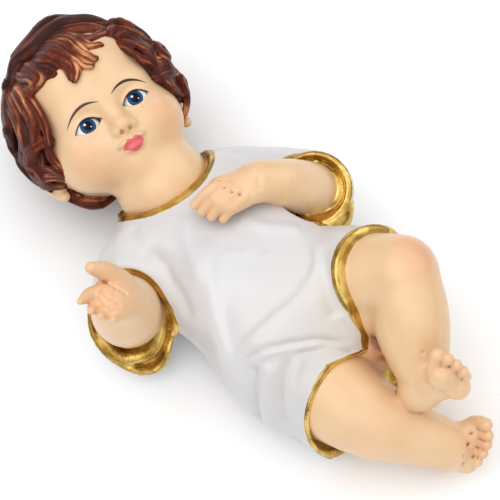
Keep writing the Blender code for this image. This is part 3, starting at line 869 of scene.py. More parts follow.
# Each finger: its path and the radii along it, from the root to the tip.
RIGHT_FINGERS = (
    (((-24.5, -40.0, 49.5), (-26.2, -44.4, 52.4), (-25.4, -48.9, 56.6)), (3.0, 2.4, 0.9)),
    (((-22.0, -41.0, 49.6), (-22.6, -45.8, 51.8), (-21.6, -48.2, 55.0)), (2.7, 2.2, 1.1)),
    (((-19.6, -41.0, 49.0), (-19.4, -45.2, 51.2), (-18.6, -47.4, 54.2)), (2.7, 2.2, 1.1)),
    (((-17.6, -40.0, 48.6), (-16.8, -43.4, 50.6), (-15.6, -45.2, 53.0)), (2.6, 2.1, 1.0)),
    (((-24.2, -34.6, 46.0), (-28.0, -36.0, 52.4), (-30.6, -39.2, 57.2)), (4.8, 3.3, 1.9)),
)
LEFT_FINGERS = (
    (((-24.4, 11.0, 49.8), (-25.9, 5.6, 50.0), (-27.0, -0.2, 46.4)), (2.1, 1.85, 1.5)),
    (((-21.8, 10.4, 50.6), (-22.9, 5.4, 50.4), (-23.7, -0.2, 46.6)), (2.1, 1.9, 1.55)),
    (((-19.2, 10.6, 50.4), (-20.0, 5.6, 50.2), (-20.4, 0.6, 46.8)), (2.0, 1.85, 1.5)),
    (((-16.8, 11.6, 49.6), (-17.2, 7.0, 49.2), (-17.4, 2.6, 46.4)), (1.9, 1.7, 1.4)),
    (((-23.4, 14.0, 45.6), (-26.6, 10.0, 44.6), (-27.4, 6.0, 43.0)), (2.6, 2.2, 1.7)),
)
LEFT_KNUCKLES = ((-25.9, 9.4, 52), (-22.7, 8.7, 53), (-19.9, 9.2, 53), (-17.4, 10.4, 52))
KNUCKLE_WIDTH, KNUCKLE_DEPTH = 0.62, 0.8
# The creases of the right palm and of the left wrist: path, width and height.
PALM_CREASES = (
    (((-27.6, -38.6, 52.5), (-23.6, -38.0, 53.4), (-17.6, -36.4, 52.0)), 0.55, -0.55),
    (((-25.6, -41.6, 53.0), (-21.0, -41.8, 53.6), (-17.0, -40.6, 52.6)), 0.45, -0.45),
    (((-24.4, -36.2, 53.0), (-21.8, -38.6, 53.6), (-20.6, -41.0, 53.4)), 0.45, -0.3),
)
WRIST_CREASE = (((-20.5, 22.5, 53.5), (-17.5, 18.5, 53), (-14.6, 15.5, 50.5)), 0.9, -0.4)
RIGHT_HAND_BLUSH = ((-22, -42, 54, 11, 0.6),)
LEFT_HAND_BLUSH = ((-22, 6, 52, 10, 0.6),)


def carve_hand(box, arm, arm_radii, palm, palm_radii, thin, flat, fingers, blend):
    """An arm, the flat palm at its end, and five fingers that merge at their roots."""
    clay = Clay(*box, HAND_CELL)
    clay.add(bar(arm, arm_radii), 1.0)
    clay.add(bar(palm, palm_radii, thin, flat), 2.5)
    for path, radii in fingers:
        clay.add(bar(path, radii), blend)
    skin = clay.skin()
    skin.soften(4)
    return skin


right_arm = carve_hand(
    ((-38, -54, 8), (-6, -18, 62)), RIGHT_ARM, RIGHT_ARM_RADII,
    ((-21.6, -37.0, 44), (-21.2, -39.4, 49.0)), (6.4, 7.0), (0.15, 0.7, 0.7), 0.66, RIGHT_FINGERS, 0.5,
)
relief = sum(right_arm.ridge(*crease) for crease in PALM_CREASES)
right_arm.points = right_arm.points + relief[:, None] * right_arm.normals()
make_piece(
    "right_arm", right_arm.points, right_arm.faces, skin_paint,
    {"blush": near_spots(right_arm.points, RIGHT_HAND_BLUSH), "hollow": right_arm.hollow(12)},
)

left_arm = carve_hand(
    ((-38, -6, 10), (4, 48, 62)), LEFT_ARM, LEFT_ARM_RADII,
    ((-18.4, 18.0, 47.6), (-21.6, 8.6, 48.4)), (6.0, 6.7), (0.05, 0.15, 1), 0.62, LEFT_FINGERS, 0.4,
)
relief = left_arm.ridge(*WRIST_CREASE)
for place in LEFT_KNUCKLES:
    relief += left_arm.dent(place, KNUCKLE_WIDTH, -KNUCKLE_DEPTH)
left_arm.points = left_arm.points + relief[:, None] * left_arm.normals()
make_piece(
    "left_arm", left_arm.points, left_arm.faces, skin_paint,
    {"blush": near_spots(left_arm.points, LEFT_HAND_BLUSH), "hollow": left_arm.hollow(12)},
)


# The head
# The head leans to the figure's left with its chin tucked in. The face is a calm child's face
# on plain proportions, carved in the casting and painted by hand.

HEAD_CELL = 0.43
HEAD_MIDDLE = np.array((-79.0, 6.5, 29.5))
HEAD_LEAN, HEAD_TUCK = np.radians((11.0, 15.0))
EARWARD = np.array((np.sin(HEAD_LEAN), np.cos(HEAD_LEAN), 0))
CROWNWARD = np.array(
    (
        -np.cos(HEAD_LEAN) * np.cos(HEAD_TUCK),
        np.sin(HEAD_LEAN) * np.cos(HEAD_TUCK),
        np.sin(HEAD_TUCK),
    )
)
HEAD_TURN = np.array((EARWARD, CROWNWARD, np.cross(EARWARD, CROWNWARD)))


def from_head(points):
    """Points given along the head's own directions (ear, crown, face), in the figure's frame."""
    return np.asarray(points) @ HEAD_TURN + HEAD_MIDDLE


def to_head(points):
    """Points of the figure's frame along the head's own directions."""
    return (np.asarray(points) - HEAD_MIDDLE) @ HEAD_TURN.T


# The middle of the left eyeball, its radius, the lid's thickness and the opening's size.
EYE = np.array((8.8, -6.5, 16.0))
EYEBALL = 5.2
LID = 0.65
EYE_HALF_WIDTH = 4.7
UPPER_LID, LOWER_LID = 2.45, 1.9


def eye_opening(side):
    """Distance to the almond between the lids: between two arcs, each a parabola that meets the
    other at the eye's corners."""

    def distance(x, y, z):
        bow = 1 - ((x - side * EYE[0]) / EYE_HALF_WIDTH) ** 2
        y = y - EYE[1]
        return np.maximum(np.maximum(y - UPPER_LID * bow, -y - LOWER_LID * bow), EYE[2] + 1 - z)

    reach = np.array((EYE_HALF_WIDTH, 3.5, 9.0))
    middle = EYE * (side, 1, 1)
    return distance, middle - reach, middle + reach


# The skull, jaw and forehead, the neck, and then the muzzle and chin.
head = Clay((-29, -56, -27), (29, 29, 29), HEAD_CELL)
head.add(ball((0, 3, -1), (23.4, 24.0, 23.8)), 6)
head.add(ball((0, -8, 1.5), (22.8, 18.5, 21.0)), 6)
head.add(ball((0, 9, 8), (17, 13, 14.6)), 8)
head_neck = to_head(((-40.5, 5.0, 18.5), (-46.9, 5.0, 24.4), (-56, 4.8, 27.5)))
head.add(bar((*head_neck, (0, -10, -3)), (15.6, 15.4, 12.6, 13.0)), 4)
head.add(ball((0, -15.5, 13), (9.5, 8.5, 8.8)), 6)
head.add(ball((0, -23.2, 12.5), (6.2, 4.8, 6.0)), 5)
# On each side the cheek, the brow, the socket of the eye, and the ear's body and rim.
for side in (-1, 1):
    head.add(ball((10.5 * side, -13.5, 9), (11.2, 10.2, 11.2)), 5)
    head.add(ball((8.5 * side, -0.6, 17.0), (6.5, 2.6, 4.2)), 5)
    head.cut(ball((9.0 * side, -6.5, 25.0), (6.6, 4.6, 4.8)), 4)
    head.add(ball((23.4 * side, -11.5, -1.6), (2.0, 5.6, 4.0)), 2)
    head.add(
        bar(
            (
                (23.6 * side, -8.5, 2.2), (25.2 * side, -5.6, -0.6), (26.2 * side, -7.0, -4.4),
                (26.0 * side, -11.5, -5.6), (24.8 * side, -15.6, -3.6), (23.6 * side, -17.6, -0.6),
            ),
            (0.9, 1.1, 1.2, 1.2, 1.4, 1.7),
        ),
        0.8,
    )
# The nose with its wings and nostrils, the lips and the dip below them.
head.add(bar(((0, -1.5, 20.0), (0, -6.5, 21.2), (0, -11.2, 23.0)), (2.2, 2.0, 2.2)), 3)
head.add(ball((0, -12.0, 23.6), (2.7, 2.4, 2.6)), 1.8)
for side in (-1, 1):
    head.add(ball((2.8 * side, -12.9, 22.2), (1.8, 1.6, 2.2)), 1.2)
    head.cut(ball((1.45 * side, -14.0, 24.0), (0.75, 0.7, 1.3)), 0.5)
    head.add(ball((1.9 * side, -17.3, 21.9), (2.9, 1.25, 2.2)), 1.0)
head.add(ball((0, -19.7, 21.6), (3.2, 1.45, 2.1)), 1.0)
MOUTH_LINE = (
    (-5.0, -18.0, 21.4), (-2.0, -18.5, 23.9), (0, -18.7, 24.3), (2.0, -18.5, 23.9), (5.0, -18.0, 21.4)
)
head.cut(bar(MOUTH_LINE, (0.2, 0.32, 0.35, 0.32, 0.2)), 0.7)
head.cut(ball((0, -22.0, 23.4), (4.2, 1.0, 1.6)), 2)
for side in (-1, 1):
    head.add(ball(EYE * (side, 1, 1), EYEBALL + LID), 1.8)
    head.cut(eye_opening(side), 0.3)
head = head.skin()
head.soften(2)

# The cheeks, the chin and the tip of the nose: place, radius and strength.
FACE_BLUSHES = (
    (12.5, -13.5, 17.5, 7, 0.75), (-12.5, -13.5, 17.5, 7, 0.75), (0, -25, 17, 4, 0.3),
    (0, -12, 26, 2.5, 0.35),
)
LASH = (0.050, 0.012, 0.006)
LIPS = (0.72, 0.12, 0.14)
BROW_MIDDLE, BROW_HALF_WIDTH, BROW_RISE, BROW_THICK = 8.6, 6.4, 6.2, 0.50
MOUTH_HEIGHT, MOUTH_HALF_WIDTH, UPPER_LIP, LOWER_LIP, LIP_NOTCH = -18.6, 3.9, 2.2, 2.5, 0.7
face_paint, shader, start = new_paint("face enamel", Coat_Weight=0.25, Coat_Roughness=0.18)
place = start.place()
ear = start.value("ear")
crown = start.value("crown")
blush = start.value("blush")
hollow = start.value("hollow")
side = abs(ear)
mottle = start.noise(place, 90.0, 3.0)
base = mottle.step(0.3, 0.7).mix(FLESH_LIGHT, FLESH_WARM)
base = (blush * 0.8).mix(base, FLESH_BLUSH)
# Painted shade: brown in the hollows of the face.
base = (hollow.step(0.02, 0.30) * 0.5).mix(base, FLESH_SHADE)
across = (side - EYE[0]) / EYE_HALF_WIDTH
bow = 1 - across * across
lash = crown - EYE[1] - UPPER_LID * bow
in_eye = (1 - abs(across)).step(-0.12, 0.02)
lash_line = (0.36 - abs(lash - 0.1)).step(0.0, 0.12) * in_eye
brow_across = (side - BROW_MIDDLE) / BROW_HALF_WIDTH
brow_bow = EYE[1] + BROW_RISE - 2.6 * brow_across * brow_across - 0.9 * brow_across
brow_thick = BROW_THICK * (1.0 - 0.75 * brow_across * brow_across)
brow = (brow_thick - abs(crown - brow_bow)).step(0.0, 0.10)
brow = brow * (1 - abs(brow_across)).step(0.0, 0.05)
lip_across = side / MOUTH_HALF_WIDTH
lip_bow = 1 - lip_across * lip_across
upper = MOUTH_HEIGHT + UPPER_LIP * lip_bow - LIP_NOTCH * (1 - side / 1.3).step(0.0, 1.0)
lower = MOUTH_HEIGHT - LOWER_LIP * lip_bow
lips = (upper - crown).step(0.0, 0.25) * (crown - lower).step(0.0, 0.25)
base = lips.mix(base, LIPS)
base = start.math("MAXIMUM", lash_line, brow).mix(base, LASH)
feed(shader, "Base Color", base)
feed(shader, "Roughness", 0.30 + 0.10 * mottle)
# The places along the ear and crown directions, for the painted lines. Behind the face the first
# is far off, so that no line is painted there.
ear_place, crown_place, face_place = head.points.T
make_piece(
    "head", from_head(head.points), head.faces, face_paint,
    {
        "blush": near_spots(head.points, FACE_BLUSHES), "hollow": head.hollow(12),
        "ear": np.where(face_place > 5, ear_place, 99.0), "crown": crown_place,
    },
)


def dome(middle, radius, rows, columns):
    """A ball as a grid: turns round the face direction against angle from it. The two small
    holes at the poles are closed with a cap."""
    drop = np.linspace(0.02, np.pi - 0.02, rows)[:, None]
    turn = np.linspace(0, 2 * np.pi, columns, endpoint=False)[None, :]
    x = np.sin(drop) * np.cos(turn)
    y = np.sin(drop) * np.sin(turn)
    z = np.cos(drop) * np.ones_like(turn)
    points = np.stack([x, y, z], 2).reshape(-1, 3) * radius + middle
    row, column = np.meshgrid(np.arange(rows - 1), np.arange(columns), indexing="ij")
    after = (column + 1) % columns
    here, below = row * columns, (row + 1) * columns
    faces = np.stack([here + column, below + column, below + after, here + after], 2)
    caps = [tuple(range(columns)), tuple(range(rows * columns - 1, (rows - 1) * columns - 1, -1))]
    return points, faces.reshape(-1, 4).tolist() + caps


IRIS, IRIS_RIM, PUPIL = 2.7, 0.22, 1.75
EYE_WHITE = (0.80, 0.79, 0.78)
IRIS_DARK = (0.010, 0.02, 0.05)
IRIS_BLUE = (0.008, 0.075, 0.20)
PUPIL_BLACK = (0.003, 0.003, 0.004)
GLINT_WHITE = (0.9, 0.9, 0.9)
# The two painted glints: place from the middle of the iris, and radius.
GLINTS = ((-0.75, 0.8, 0.42), (0.7, -0.75, 0.25))
# How far above the middle of the eyeball the gaze is.
GAZE_UP = 0.35
eye_paint, shader, start = new_paint("eye enamel", Roughness=0.15, Specular_IOR_Level=0.12)
away = start.value("away")
ear = start.value("ear")
crown = start.value("crown")
eye_base = (IRIS - away).step(0.0, 0.12).mix(EYE_WHITE, IRIS_DARK)
eye_base = (IRIS - IRIS_RIM - away).step(0.0, 0.1).mix(eye_base, IRIS_BLUE)
eye_base = (PUPIL - away).step(0.0, 0.25).mix(eye_base, PUPIL_BLACK)
for across, up, radius in GLINTS:
    apart = (ear - across) * (ear - across) + (crown - up) * (crown - up)
    eye_base = (radius * radius - apart).step(0.0, 0.05).mix(eye_base, GLINT_WHITE)
feed(shader, "Base Color", eye_base)
for side, name in ((1, "left_eye"), (-1, "right_eye")):
    middle = EYE * (side, 1, 1)
    points, faces = dome(middle, EYEBALL, 40, 64)
    gaze = middle + np.array((0.0, GAZE_UP, EYEBALL))
    make_piece(
        name, from_head(points), faces, eye_paint,
        {
            "away": np.linalg.norm(points - gaze, axis=1),
            "ear": (points - gaze)[:, 0], "crown": (points - gaze)[:, 1],
        },
    )


# The hair
# Wavy brown hair in carved locks, parted above the left temple and swept to the figure's right.
# Each lock is cut with fine strands. The hollows are darkened as painted shade, and the crests
# are brushed with copper.

HAIR_DARK = (0.008, 0.003, 0.003)
HAIR_BROWN = (0.030, 0.009, 0.009)
HAIR_RUST = (0.115, 0.018, 0.007)
HAIR_COPPER = (0.46, 0.15, 0.055)
HAIR_SHINE = (0.82, 0.42, 0.20)
HAIR_CELL = 0.465
# A lock's height over its breadth, the breadth of one strand and the depth between two.
LOCK_FLAT = 0.6
STRAND, STRAND_DEPTH = 2.4, 0.45


def around_head(turn, drop):
    """Directions from the head's middle: turn goes round the face from the crown, positive to
    the figure's left, and drop goes from the middle of the face to the back. Both in degrees."""
    turn, drop = np.radians(turn), np.radians(drop)
    return np.stack([np.sin(turn) * np.sin(drop), np.cos(turn) * np.sin(drop), np.cos(drop)], -1)


def lock_rows(path, width):
    """Rows of place and radius along a lock. It swells from a root sunk in the hair below it and
    narrows to a blunt tip, and its top lies at the path's own distance from the head."""
    path = smooth_path(path, 4)
    length = np.concatenate([[0], np.cumsum(np.linalg.norm(np.diff(path, axis=0), axis=1))])
    share = length / length[-1]
    size = width / 2 * np.minimum(1, 0.6 + 1.4 * share)
    size = size * (1 - 0.40 * np.clip((share - 0.5) / 0.5, 0, 1) ** 2)
    out = path / np.linalg.norm(path, axis=1)[:, None]
    sink = LOCK_FLAT * size + 8.0 * np.maximum(0.22 - share, 0)
    return np.column_stack([path - sink[:, None] * out, size])


# The locks seen from the front: each a path of (turn, drop, distance from the head's middle)
# with its width and how much copper it carries.
FRONT_LOCKS = (
    (((-10, 84, 30.5), (-24, 89, 31), (-38, 92, 31), (-50, 93, 30.6), (-62, 91, 30)), 6.4, 0.1),
    (((-16, 92, 31), (-30, 96, 31), (-45, 100, 31), (-58, 102, 30.6), (-72, 104, 30)), 7.0, 0.1),
    (((-2, 92, 32), (-14, 98, 31.6), (-28, 104, 31), (-44, 108, 30.6), (-60, 110, 30)), 7.0, 0.1),
    (((24, 86, 32.4), (12, 88, 33), (0, 90, 32.6), (-14, 94, 32), (-26, 98, 31)), 6.4, 0.1),
    (
        (
            (38, 82, 31.4), (28, 80, 33), (16, 80, 33.4), (4, 81, 33.4), (-9, 84, 32.8),
            (-22, 88, 32),
        ),
        6.0, 0.1,
    ),
    (
        (
            (40, 76, 30.6), (32, 72, 31.8), (22, 71, 32.8), (11, 73, 33), (-1, 75, 33),
            (-14, 79, 32.2), (-26, 84, 31.2), (-38, 88, 30),
        ),
        5.8, 0.12,
    ),
    (
        (
            (41, 74, 30), (31, 71, 31), (20, 72, 31.4), (8, 73, 31.6), (-4, 76, 31.6),
            (-16, 78, 31.4), (-28, 83, 30.8), (-42, 86, 30),
        ),
        6.0, 0.25,
    ),
    (
        (
            (42, 72, 29), (32, 64, 29.5), (20, 64, 30), (8, 68, 30.2), (-3, 74, 30.2),
            (-14, 78, 30.2), (-26, 81, 29.8), (-40, 82, 29),
        ),
        6.0, 0.4,
    ),
    (((43, 70, 28.5), (35, 56, 28), (25, 47, 28), (16, 48, 28.4), (8, 62, 28.6)), 3.8, 0.45),
    (
        ((-3, 74, 29), (5, 64, 29), (11, 54, 28.5), (14, 43, 28.2), (20, 37, 28), (32, 38, 27.6)),
        3.8, 0.8,
    ),
    (
        (
            (-12, 76, 29.5), (-3, 66, 29.3), (3, 54, 29), (6, 40, 28.6), (10, 30, 28.2),
            (22, 25, 27.6),
        ),
        3.9, 1.0,
    ),
    (
        ((-14, 79, 29), (-8, 62, 29), (-6, 46, 28.8), (-5, 33, 28.4), (-2, 24, 28), (11, 20, 27.4)),
        3.7, 0.9,
    ),
    (
        (
            (-18, 78, 29), (-16, 56, 29), (-14, 40, 28.8), (-13, 29, 28.4), (-18, 22, 28),
            (-33, 20, 27.4),
        ),
        3.6, 1.0,
    ),
    (((-23, 74, 28.6), (-23, 53, 28.6), (-20, 41, 28.4), (-21, 31, 28), (-32, 24, 27.4)), 3.0, 0.7),
    (((-28, 66, 28), (-31, 50, 28), (-30, 42, 28), (-33, 37, 27.6), (-37, 40, 27.2)), 3.0, 0.15),
    (
        (
            (-29, 80, 29.4), (-30, 66, 29), (-34, 51, 28.6), (-40, 46, 28.2), (-46, 49, 27.8),
            (-50, 56, 27.4),
        ),
        4.2, 0.5,
    ),
    (((-34, 82, 29.6), (-37, 70, 29), (-41, 56, 28.4), (-46, 51, 28), (-51, 57, 27.6)), 3.4, 0.4),
    (
        (
            (-42, 76, 28.4), (-54, 58, 28.4), (-66, 50, 28.2), (-77, 47, 28), (-89, 48, 27.8),
            (-100, 53, 27.4),
        ),
        3.4, 0.85,
    ),
    (
        (
            (-41, 84, 29.4), (-51, 68, 29.4), (-63, 58, 29.2), (-74, 55, 29), (-84, 57, 28.6),
            (-92, 66, 28),
        ),
        4.6, 1.0,
    ),
    (
        (
            (-40, 86, 30.2), (-50, 82, 30.2), (-65, 70, 30), (-75, 68, 29.8), (-84, 72, 29.4),
            (-87, 88, 28.6),
        ),
        4.6, 0.6,
    ),
    (
        (
            (-37, 88, 31), (-47, 87, 30.6), (-56, 84, 30.4), (-65, 83, 30.4), (-74, 88, 30.4),
            (-81, 98, 29.4),
        ),
        4.6, 0.25,
    ),
    (
        (
            (-44, 96, 30), (-56, 93, 30), (-64, 92, 30), (-70, 94, 30.8), (-78, 96, 31),
            (-86, 98, 29.6),
        ),
        5.0, 0.35,
    ),
    (
        (
            (-96, 53, 28), (-94, 61, 29), (-94, 74, 29.6), (-98, 87, 30), (-106, 87, 30),
            (-115, 76, 29), (-125, 71, 28),
        ),
        3.8, 1.0,
    ),
    (
        (
            (-90, 70, 28.4), (-89, 84, 29.4), (-93, 98, 30), (-102, 100, 30.4), (-114, 90, 30),
            (-124, 80, 29),
        ),
        3.8, 0.4,
    ),
    (((-99, 53, 27.6), (-105, 60, 28), (-112, 63, 28), (-119, 65, 28), (-126, 70, 27.6)), 2.8, 0.8),
    (((-101, 68, 28.8), (-107, 71, 29.2), (-115, 68, 29), (-123, 68, 28.2)), 2.4, 0.7),
    (
        ((-82, 98, 29), (-90, 100, 30.4), (-98, 101, 31), (-107, 102, 30.6), (-117, 97, 29.4)),
        4.0, 0.25,
    ),
    (
        (
            (-121, 88, 29), (-127, 100, 30), (-135, 102, 31), (-143, 102, 31), (-151, 102, 30),
            (-160, 101, 28.6),
        ),
        4.0, 0.6,
    ),
    (((-125, 93, 28), (-134, 98, 29), (-143, 98, 29), (-154, 100, 28)), 3.0, 0.6),
    (((41, 72, 30), (46, 71, 31.6), (54, 71, 32), (61, 73, 31.4), (67, 78, 30)), 4.4, 0.25),
    (((42, 66, 29.4), (48, 64, 30), (55, 66, 30.2), (62, 69, 30), (69, 74, 29.4)), 3.8, 0.5),
    (((41, 50, 27.6), (42, 60, 29), (47, 66, 29.6), (51, 59, 29), (47, 52, 28)), 2.6, 1.0),
    (((47, 49, 27.8), (58, 48, 28.4), (67, 50, 28.8), (75, 53, 29), (83, 50, 28.2)), 3.2, 0.9),
    (((49, 46, 27.4), (64, 41, 27.6), (76, 42, 27.8), (86, 45, 27.8), (93, 52, 27.4)), 2.6, 0.8),
    (
        (
            (64, 72, 29), (72, 71, 30.6), (79, 71, 31), (85, 66, 30), (87, 53, 28.8),
            (80, 54, 28.8), (78, 64, 29.6),
        ),
        3.0, 0.9,
    ),
    (((67, 66, 28.8), (76, 52, 28.8), (85, 49, 28.4), (95, 52, 27.8)), 3.2, 0.5),
    (((90, 50, 28), (90, 62, 29.6), (97, 62, 29.4), (101, 51, 28)), 3.0, 0.4),
    (
        (
            (98, 52, 28), (97, 70, 29.6), (100, 77, 30.4), (106, 79, 31), (113, 81, 31),
            (120, 84, 30), (127, 88, 28.6),
        ),
        3.6, 0.7,
    ),
    (((99, 48, 27.6), (105, 54, 28.2), (109, 61, 28.6), (112, 76, 29)), 3.2, 0.4),
)
# The round curls on both sides: turn, drop and height of the middle, then the curl's size, the
# angle where it starts and how far it winds in degrees, its width and its copper.
CURLS = (
    (48, 70, 31.4, 3.6, 200, -420, 3.6, 0.6),
    (80, 64, 30.6, 4.2, 150, -430, 3.8, 0.7),
    (104, 77, 30.4, 3.4, 120, -400, 3.4, 0.5),
    (-102, 84, 29.6, 4.4, 60, 400, 3.8, 0.9),
    (-146, 102, 30.2, 3.4, 20, 400, 3.4, 0.6),
)
# Mounds that close the hair below the locks at the hairline: turn, drop, distance and radius.
BED_SPOTS = (
    (-101, 80, 23.0, 6.0), (-70, 68, 22.6, 5.8), (-85, 70, 22.8, 5.8), (-50, 70, 22.6, 5.8),
    (-30, 66, 22.6, 5.8), (-14, 68, 22.6, 5.8), (0, 70, 22.6, 5.8), (14, 70, 22.6, 5.8),
    (28, 70, 22.6, 5.8), (44, 76, 22.8, 5.8), (20, 66, 23.0, 5.6), (41, 62, 22.9, 5.2),
    (53, 62, 23.2, 5.2), (56, 70, 23.0, 5.6), (68, 60, 23.2, 5.6), (80, 58, 23.2, 5.6),
    (92, 60, 23.2, 5.6), (102, 66, 23.2, 5.4), (108, 78, 23.4, 5.4),
)
WHORL_TURN, WHORL_DROP = 8.0, 112.0
# Rings of locks round the whorl: where they start, how far they run, and how many there are.
RINGS = ((66, 34, 22), (44, 36, 17), (22, 36, 12), (4, 34, 7))
# A lock whose tip points further to the face, or further down the neck, is left out.
FACE_LIMIT, NECK_LIMIT = 0.16, -0.80
BACK_WIDTHS = (6.0, 7.4)
BACK_COPPER = 0.2


def back_locks():
    """Locks that run out from the whorl at the back of the crown in overlapping rings, each
    swaying to one side. Those that would run over the face or the neck are left out."""
    chance = np.random.default_rng(5)
    whorl = around_head(WHORL_TURN, WHORL_DROP)
    first = np.cross(whorl, (1, 0, 0))
    first /= np.linalg.norm(first)
    second = np.cross(whorl, first)
    made = []
    for ring_index, (start, run, count) in enumerate(RINGS):
        for index in range(count):
            share = np.linspace(0, 1, 6)
            away = np.radians(start + run * share + chance.uniform(-4, 4))
            heading = index + 0.5 * (ring_index % 2) + chance.uniform(-0.15, 0.15)
            heading = 2 * np.pi * heading / count
            heading = heading + 0.4 * share + 0.09 * np.sin(2 * np.pi * share + chance.uniform(0, 6))
            spread = np.outer(np.cos(heading), first) + np.outer(np.sin(heading), second)
            way = np.cos(away)[:, None] * whorl + np.sin(away)[:, None] * spread
            if way[-1, 2] > FACE_LIMIT or way[-1, 1] < NECK_LIMIT:
                continue
            top = np.exp(-((way[:, 1] - 1) / 0.8) ** 2)
            lift = 28.6 + 3.0 * top + 0.5 * ring_index + chance.uniform(-0.3, 0.5)
            made.append((way * lift[:, None], chance.uniform(*BACK_WIDTHS), BACK_COPPER))
    return made


def curl(turn, drop, away, size, start, sweep):
    """A path that winds inwards on the head round one place and rises towards its middle."""
    middle = around_head(turn, drop)
    first = around_head(turn + 90, 90)
    second = np.cross(middle, first)
    share = np.linspace(0, 1, 12)
    angle = np.radians(start + sweep * share)
    radius = (size * (1 - 0.85 * share))[:, None]
    round_it = np.cos(angle)[:, None] * first + np.sin(angle)[:, None] * second
    return middle * (away + 0.8 * share)[:, None] + radius * round_it


# The top of the head is raised a little, and the locks that cross it wave.
locks = []
for path, width, copper in FRONT_LOCKS:
    turn, drop, away = np.array(path, float).T
    away = away + 1.9 * np.clip(1 - np.abs(turn) / 60, 0, 1) * (drop > 80)
    if drop.min() > 70:
        drop = drop + 2.2 * np.sin(turn / 7)
        away = away + 0.5 * np.sin(turn / 5)
    locks.append((around_head(turn, drop) * away[:, None], 1.2 * width, copper))
for *place, width, copper in CURLS:
    locks.append((curl(*place), width, copper))
locks += back_locks()
hair = Clay((-34, -32, -36), (35, 37, 26), HAIR_CELL)
hair.add(ball((0, 2.6, -4.4), (26.4, 26.8, 25.6)))
for turn, drop, away, size in BED_SPOTS:
    hair.add(ball(around_head(turn, drop) * away, size), 2.0)
rows_of_locks = [lock_rows(path, width) for path, width, _ in locks]
for rows in rows_of_locks:
    hair.add(limb(rows, LOCK_FLAT), 0.9)
hair = hair.skin()
hair.soften(2)

# Each point belongs to the lock that it is deepest in. Strands run along the lock: its breadth
# is shared out between them and the surface dips between two of them.
depth = np.full(len(hair.points), FAR, float)
across, along, strands, copper, groove = (np.zeros(len(hair.points)) for _ in range(5))
for index, (rows, (_, width, shine)) in enumerate(zip(rows_of_locks, locks)):
    reach = rows[:, 3].max() + 1
    low, high = rows[:, :3].min(0) - reach, rows[:, :3].max(0) + reach
    near = np.flatnonzero(((hair.points > low) & (hair.points < high)).all(1))
    _, share, away, way = along_path(hair.points[near], rows[:, :3])
    size = np.interp(share * (len(rows) - 1), np.arange(len(rows)), rows[:, 3])
    side = np.cross(way, hair.points[near])
    side /= np.linalg.norm(side, axis=1)[:, None]
    lateral = (away * side).sum(1)
    upward = np.sqrt(np.maximum((away * away).sum(1) - lateral**2, 0))
    made = np.sqrt(lateral**2 + (upward / LOCK_FLAT) ** 2) - size
    deeper = made < depth[near]
    chosen = near[deeper]
    depth[chosen] = made[deeper]
    sway = 0.20 * np.sin(6 * share + index) + 0.10 * np.sin(15 * share + 2 * index)
    across[chosen] = (lateral / size + sway)[deeper]
    patchy = 0.65 + 0.5 * np.sin(7 * share + 1.7 * index + 2.5 * lateral / size)
    groove[chosen] = (np.clip(patchy, 0.1, 1) * (1.5 if shine < 0.3 else 1.0))[deeper]
    along[chosen] = share[deeper] + 3 * index
    strands[chosen] = max(2, round(width / STRAND))
    copper[chosen] = shine
on_lock = np.clip(1 - depth / 0.8, 0, 1)
crest = np.abs(np.sin(np.pi * (across + 1) * strands / 2)) * on_lock
relief = STRAND_DEPTH * groove * (crest - 0.6 * on_lock)
hair.points = hair.points + relief[:, None] * hair.normals()
hollow = hair.hollow(8)
hair_points = from_head(hair.points)
hair_points[:, 2] = np.maximum(hair_points[:, 2], 0.02)

hair_paint, shader, start = new_paint(
    "hair enamel", Coat_Weight=0.03, Coat_Roughness=0.15, Specular_IOR_Level=0.12
)
place = start.place()
crest_value = start.value("crest")
across_value = start.value("across")
along_value = start.value("along")
copper_value = start.value("copper")
hollow_value = start.value("hollow")
brush = start.noise(place, 170.0, 3.0)
patch = start.noise(place, 45.0, 2.0)
streak_place = start.node("CombineXYZ", {}, {"X": across_value * 1.7, "Y": along_value * 2.0})
streak = start.node(
    "TexNoise", {}, {"Vector": streak_place, "Scale": 1.0, "Detail": 3.0, "Roughness": 0.6}
)
tone = 0.35 * crest_value + 1.5 * (streak - 0.5) + 1.1 * (patch - 0.5) + 0.6 * (brush - 0.5)
base = (tone + 0.3 * crest_value + 0.4 * copper_value).step(0.05, 0.85).mix(HAIR_BROWN, HAIR_RUST)
base = (tone.step(0.20, 0.60) * copper_value * 0.85).mix(base, HAIR_COPPER)
base = (tone.step(0.38, 0.70) * copper_value * 0.7).mix(base, HAIR_SHINE)
# Painted shade: near black in the hollows between the strands and the locks.
base = (hollow_value.step(0.02, 0.32) * 0.9).mix(base, HAIR_DARK)
feed(shader, "Base Color", base)
feed(shader, "Roughness", 0.30 + 0.16 * brush)
bump = start.bump(0.3, 0.0005, streak)
feed(shader, "Normal", bump)
make_piece(
    "hair", hair_points, hair.faces, hair_paint,
    {"crest": crest, "across": across, "along": along, "copper": copper, "hollow": hollow},
)


# The floor, the light and the camera
# A plain pale sweep under soft studio light, and a long lens that looks down on the figure
# from its right side, near the feet.

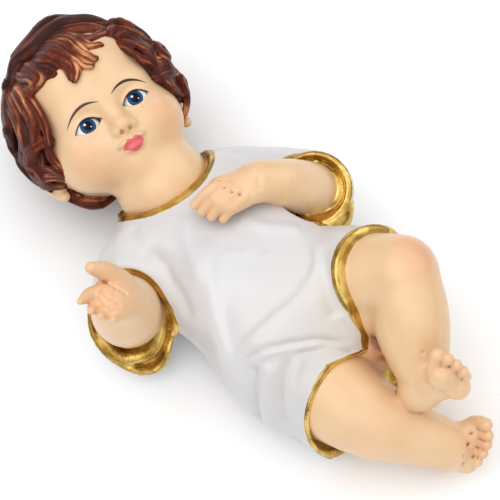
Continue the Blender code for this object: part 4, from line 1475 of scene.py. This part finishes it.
FLOOR_COLOUR = (0.96, 0.96, 0.96)
mesh = bpy.data.meshes.new("floor")
mesh.from_pydata([(-3, -3, 0), (3, -3, 0), (3, 3, 0), (-3, 3, 0)], [], [(0, 1, 2, 3)])
floor = bpy.data.objects.new("floor", mesh)
bpy.context.scene.collection.objects.link(floor)
floor_paint, shader, start = new_paint("floor paper", Roughness=0.9)
speck = start.noise(start.place(), 40.0, 2.0)
feed(shader, "Base Color", speck.mix(FLOOR_COLOUR, tuple(0.98 * part for part in FLOOR_COLOUR)))
mesh.materials.append(floor_paint)

scene = bpy.context.scene
scene.view_settings.view_transform = "Standard"
world = bpy.data.worlds.new("studio")
world.use_nodes = True
backdrop = world.node_tree.nodes["Background"]
sky = Tint(world.node_tree)
height = sky.node("SeparateXYZ", {}, {0: sky.node("TexCoord", out=0)}, out=2)
feed(backdrop, "Color", height.step(0.05, 0.75).mix((0.22, 0.22, 0.23), (1.0, 1.0, 1.0)))
scene.world = world


LAMP_AIM = Vector((0, 0, 0.02))


def add_lamp(name, place, size, power):
    """A soft square white lamp that faces the figure."""
    light = bpy.data.lights.new(name, "AREA")
    light.size = size
    light.energy = power
    lamp = bpy.data.objects.new(name, light)
    lamp.location = place
    lamp.rotation_euler = (Vector(place) - LAMP_AIM).to_track_quat("Z", "Y").to_euler()
    scene.collection.objects.link(lamp)


add_lamp("key", (-0.20, -0.25, 0.80), 0.9, 2.9)
add_lamp("fill", (0.55, -0.35, 0.45), 0.7, 0.7)
add_lamp("far fill", (0.10, 0.60, 0.60), 0.7, 0.9)

CAMERA_PLACE = Vector((0.13813, -0.14666, 0.50699))
CAMERA_AZIMUTH, CAMERA_ELEVATION = np.radians((44.0, 66.0))
camera = bpy.data.objects.new("camera", bpy.data.cameras.new("camera"))
camera.data.lens = 120.0
camera.data.sensor_width = 36.0
camera.data.clip_start = 0.01
right = Vector((np.cos(CAMERA_AZIMUTH), np.sin(CAMERA_AZIMUTH), 0.0))
back = Vector(
    (
        np.sin(CAMERA_AZIMUTH) * np.cos(CAMERA_ELEVATION),
        -np.cos(CAMERA_AZIMUTH) * np.cos(CAMERA_ELEVATION),
        np.sin(CAMERA_ELEVATION),
    )
)
camera_turn = Matrix((right, back.cross(right), back)).transposed()
camera.matrix_world = Matrix.Translation(CAMERA_PLACE) @ camera_turn.to_4x4()
scene.collection.objects.link(camera)
scene.camera = camera
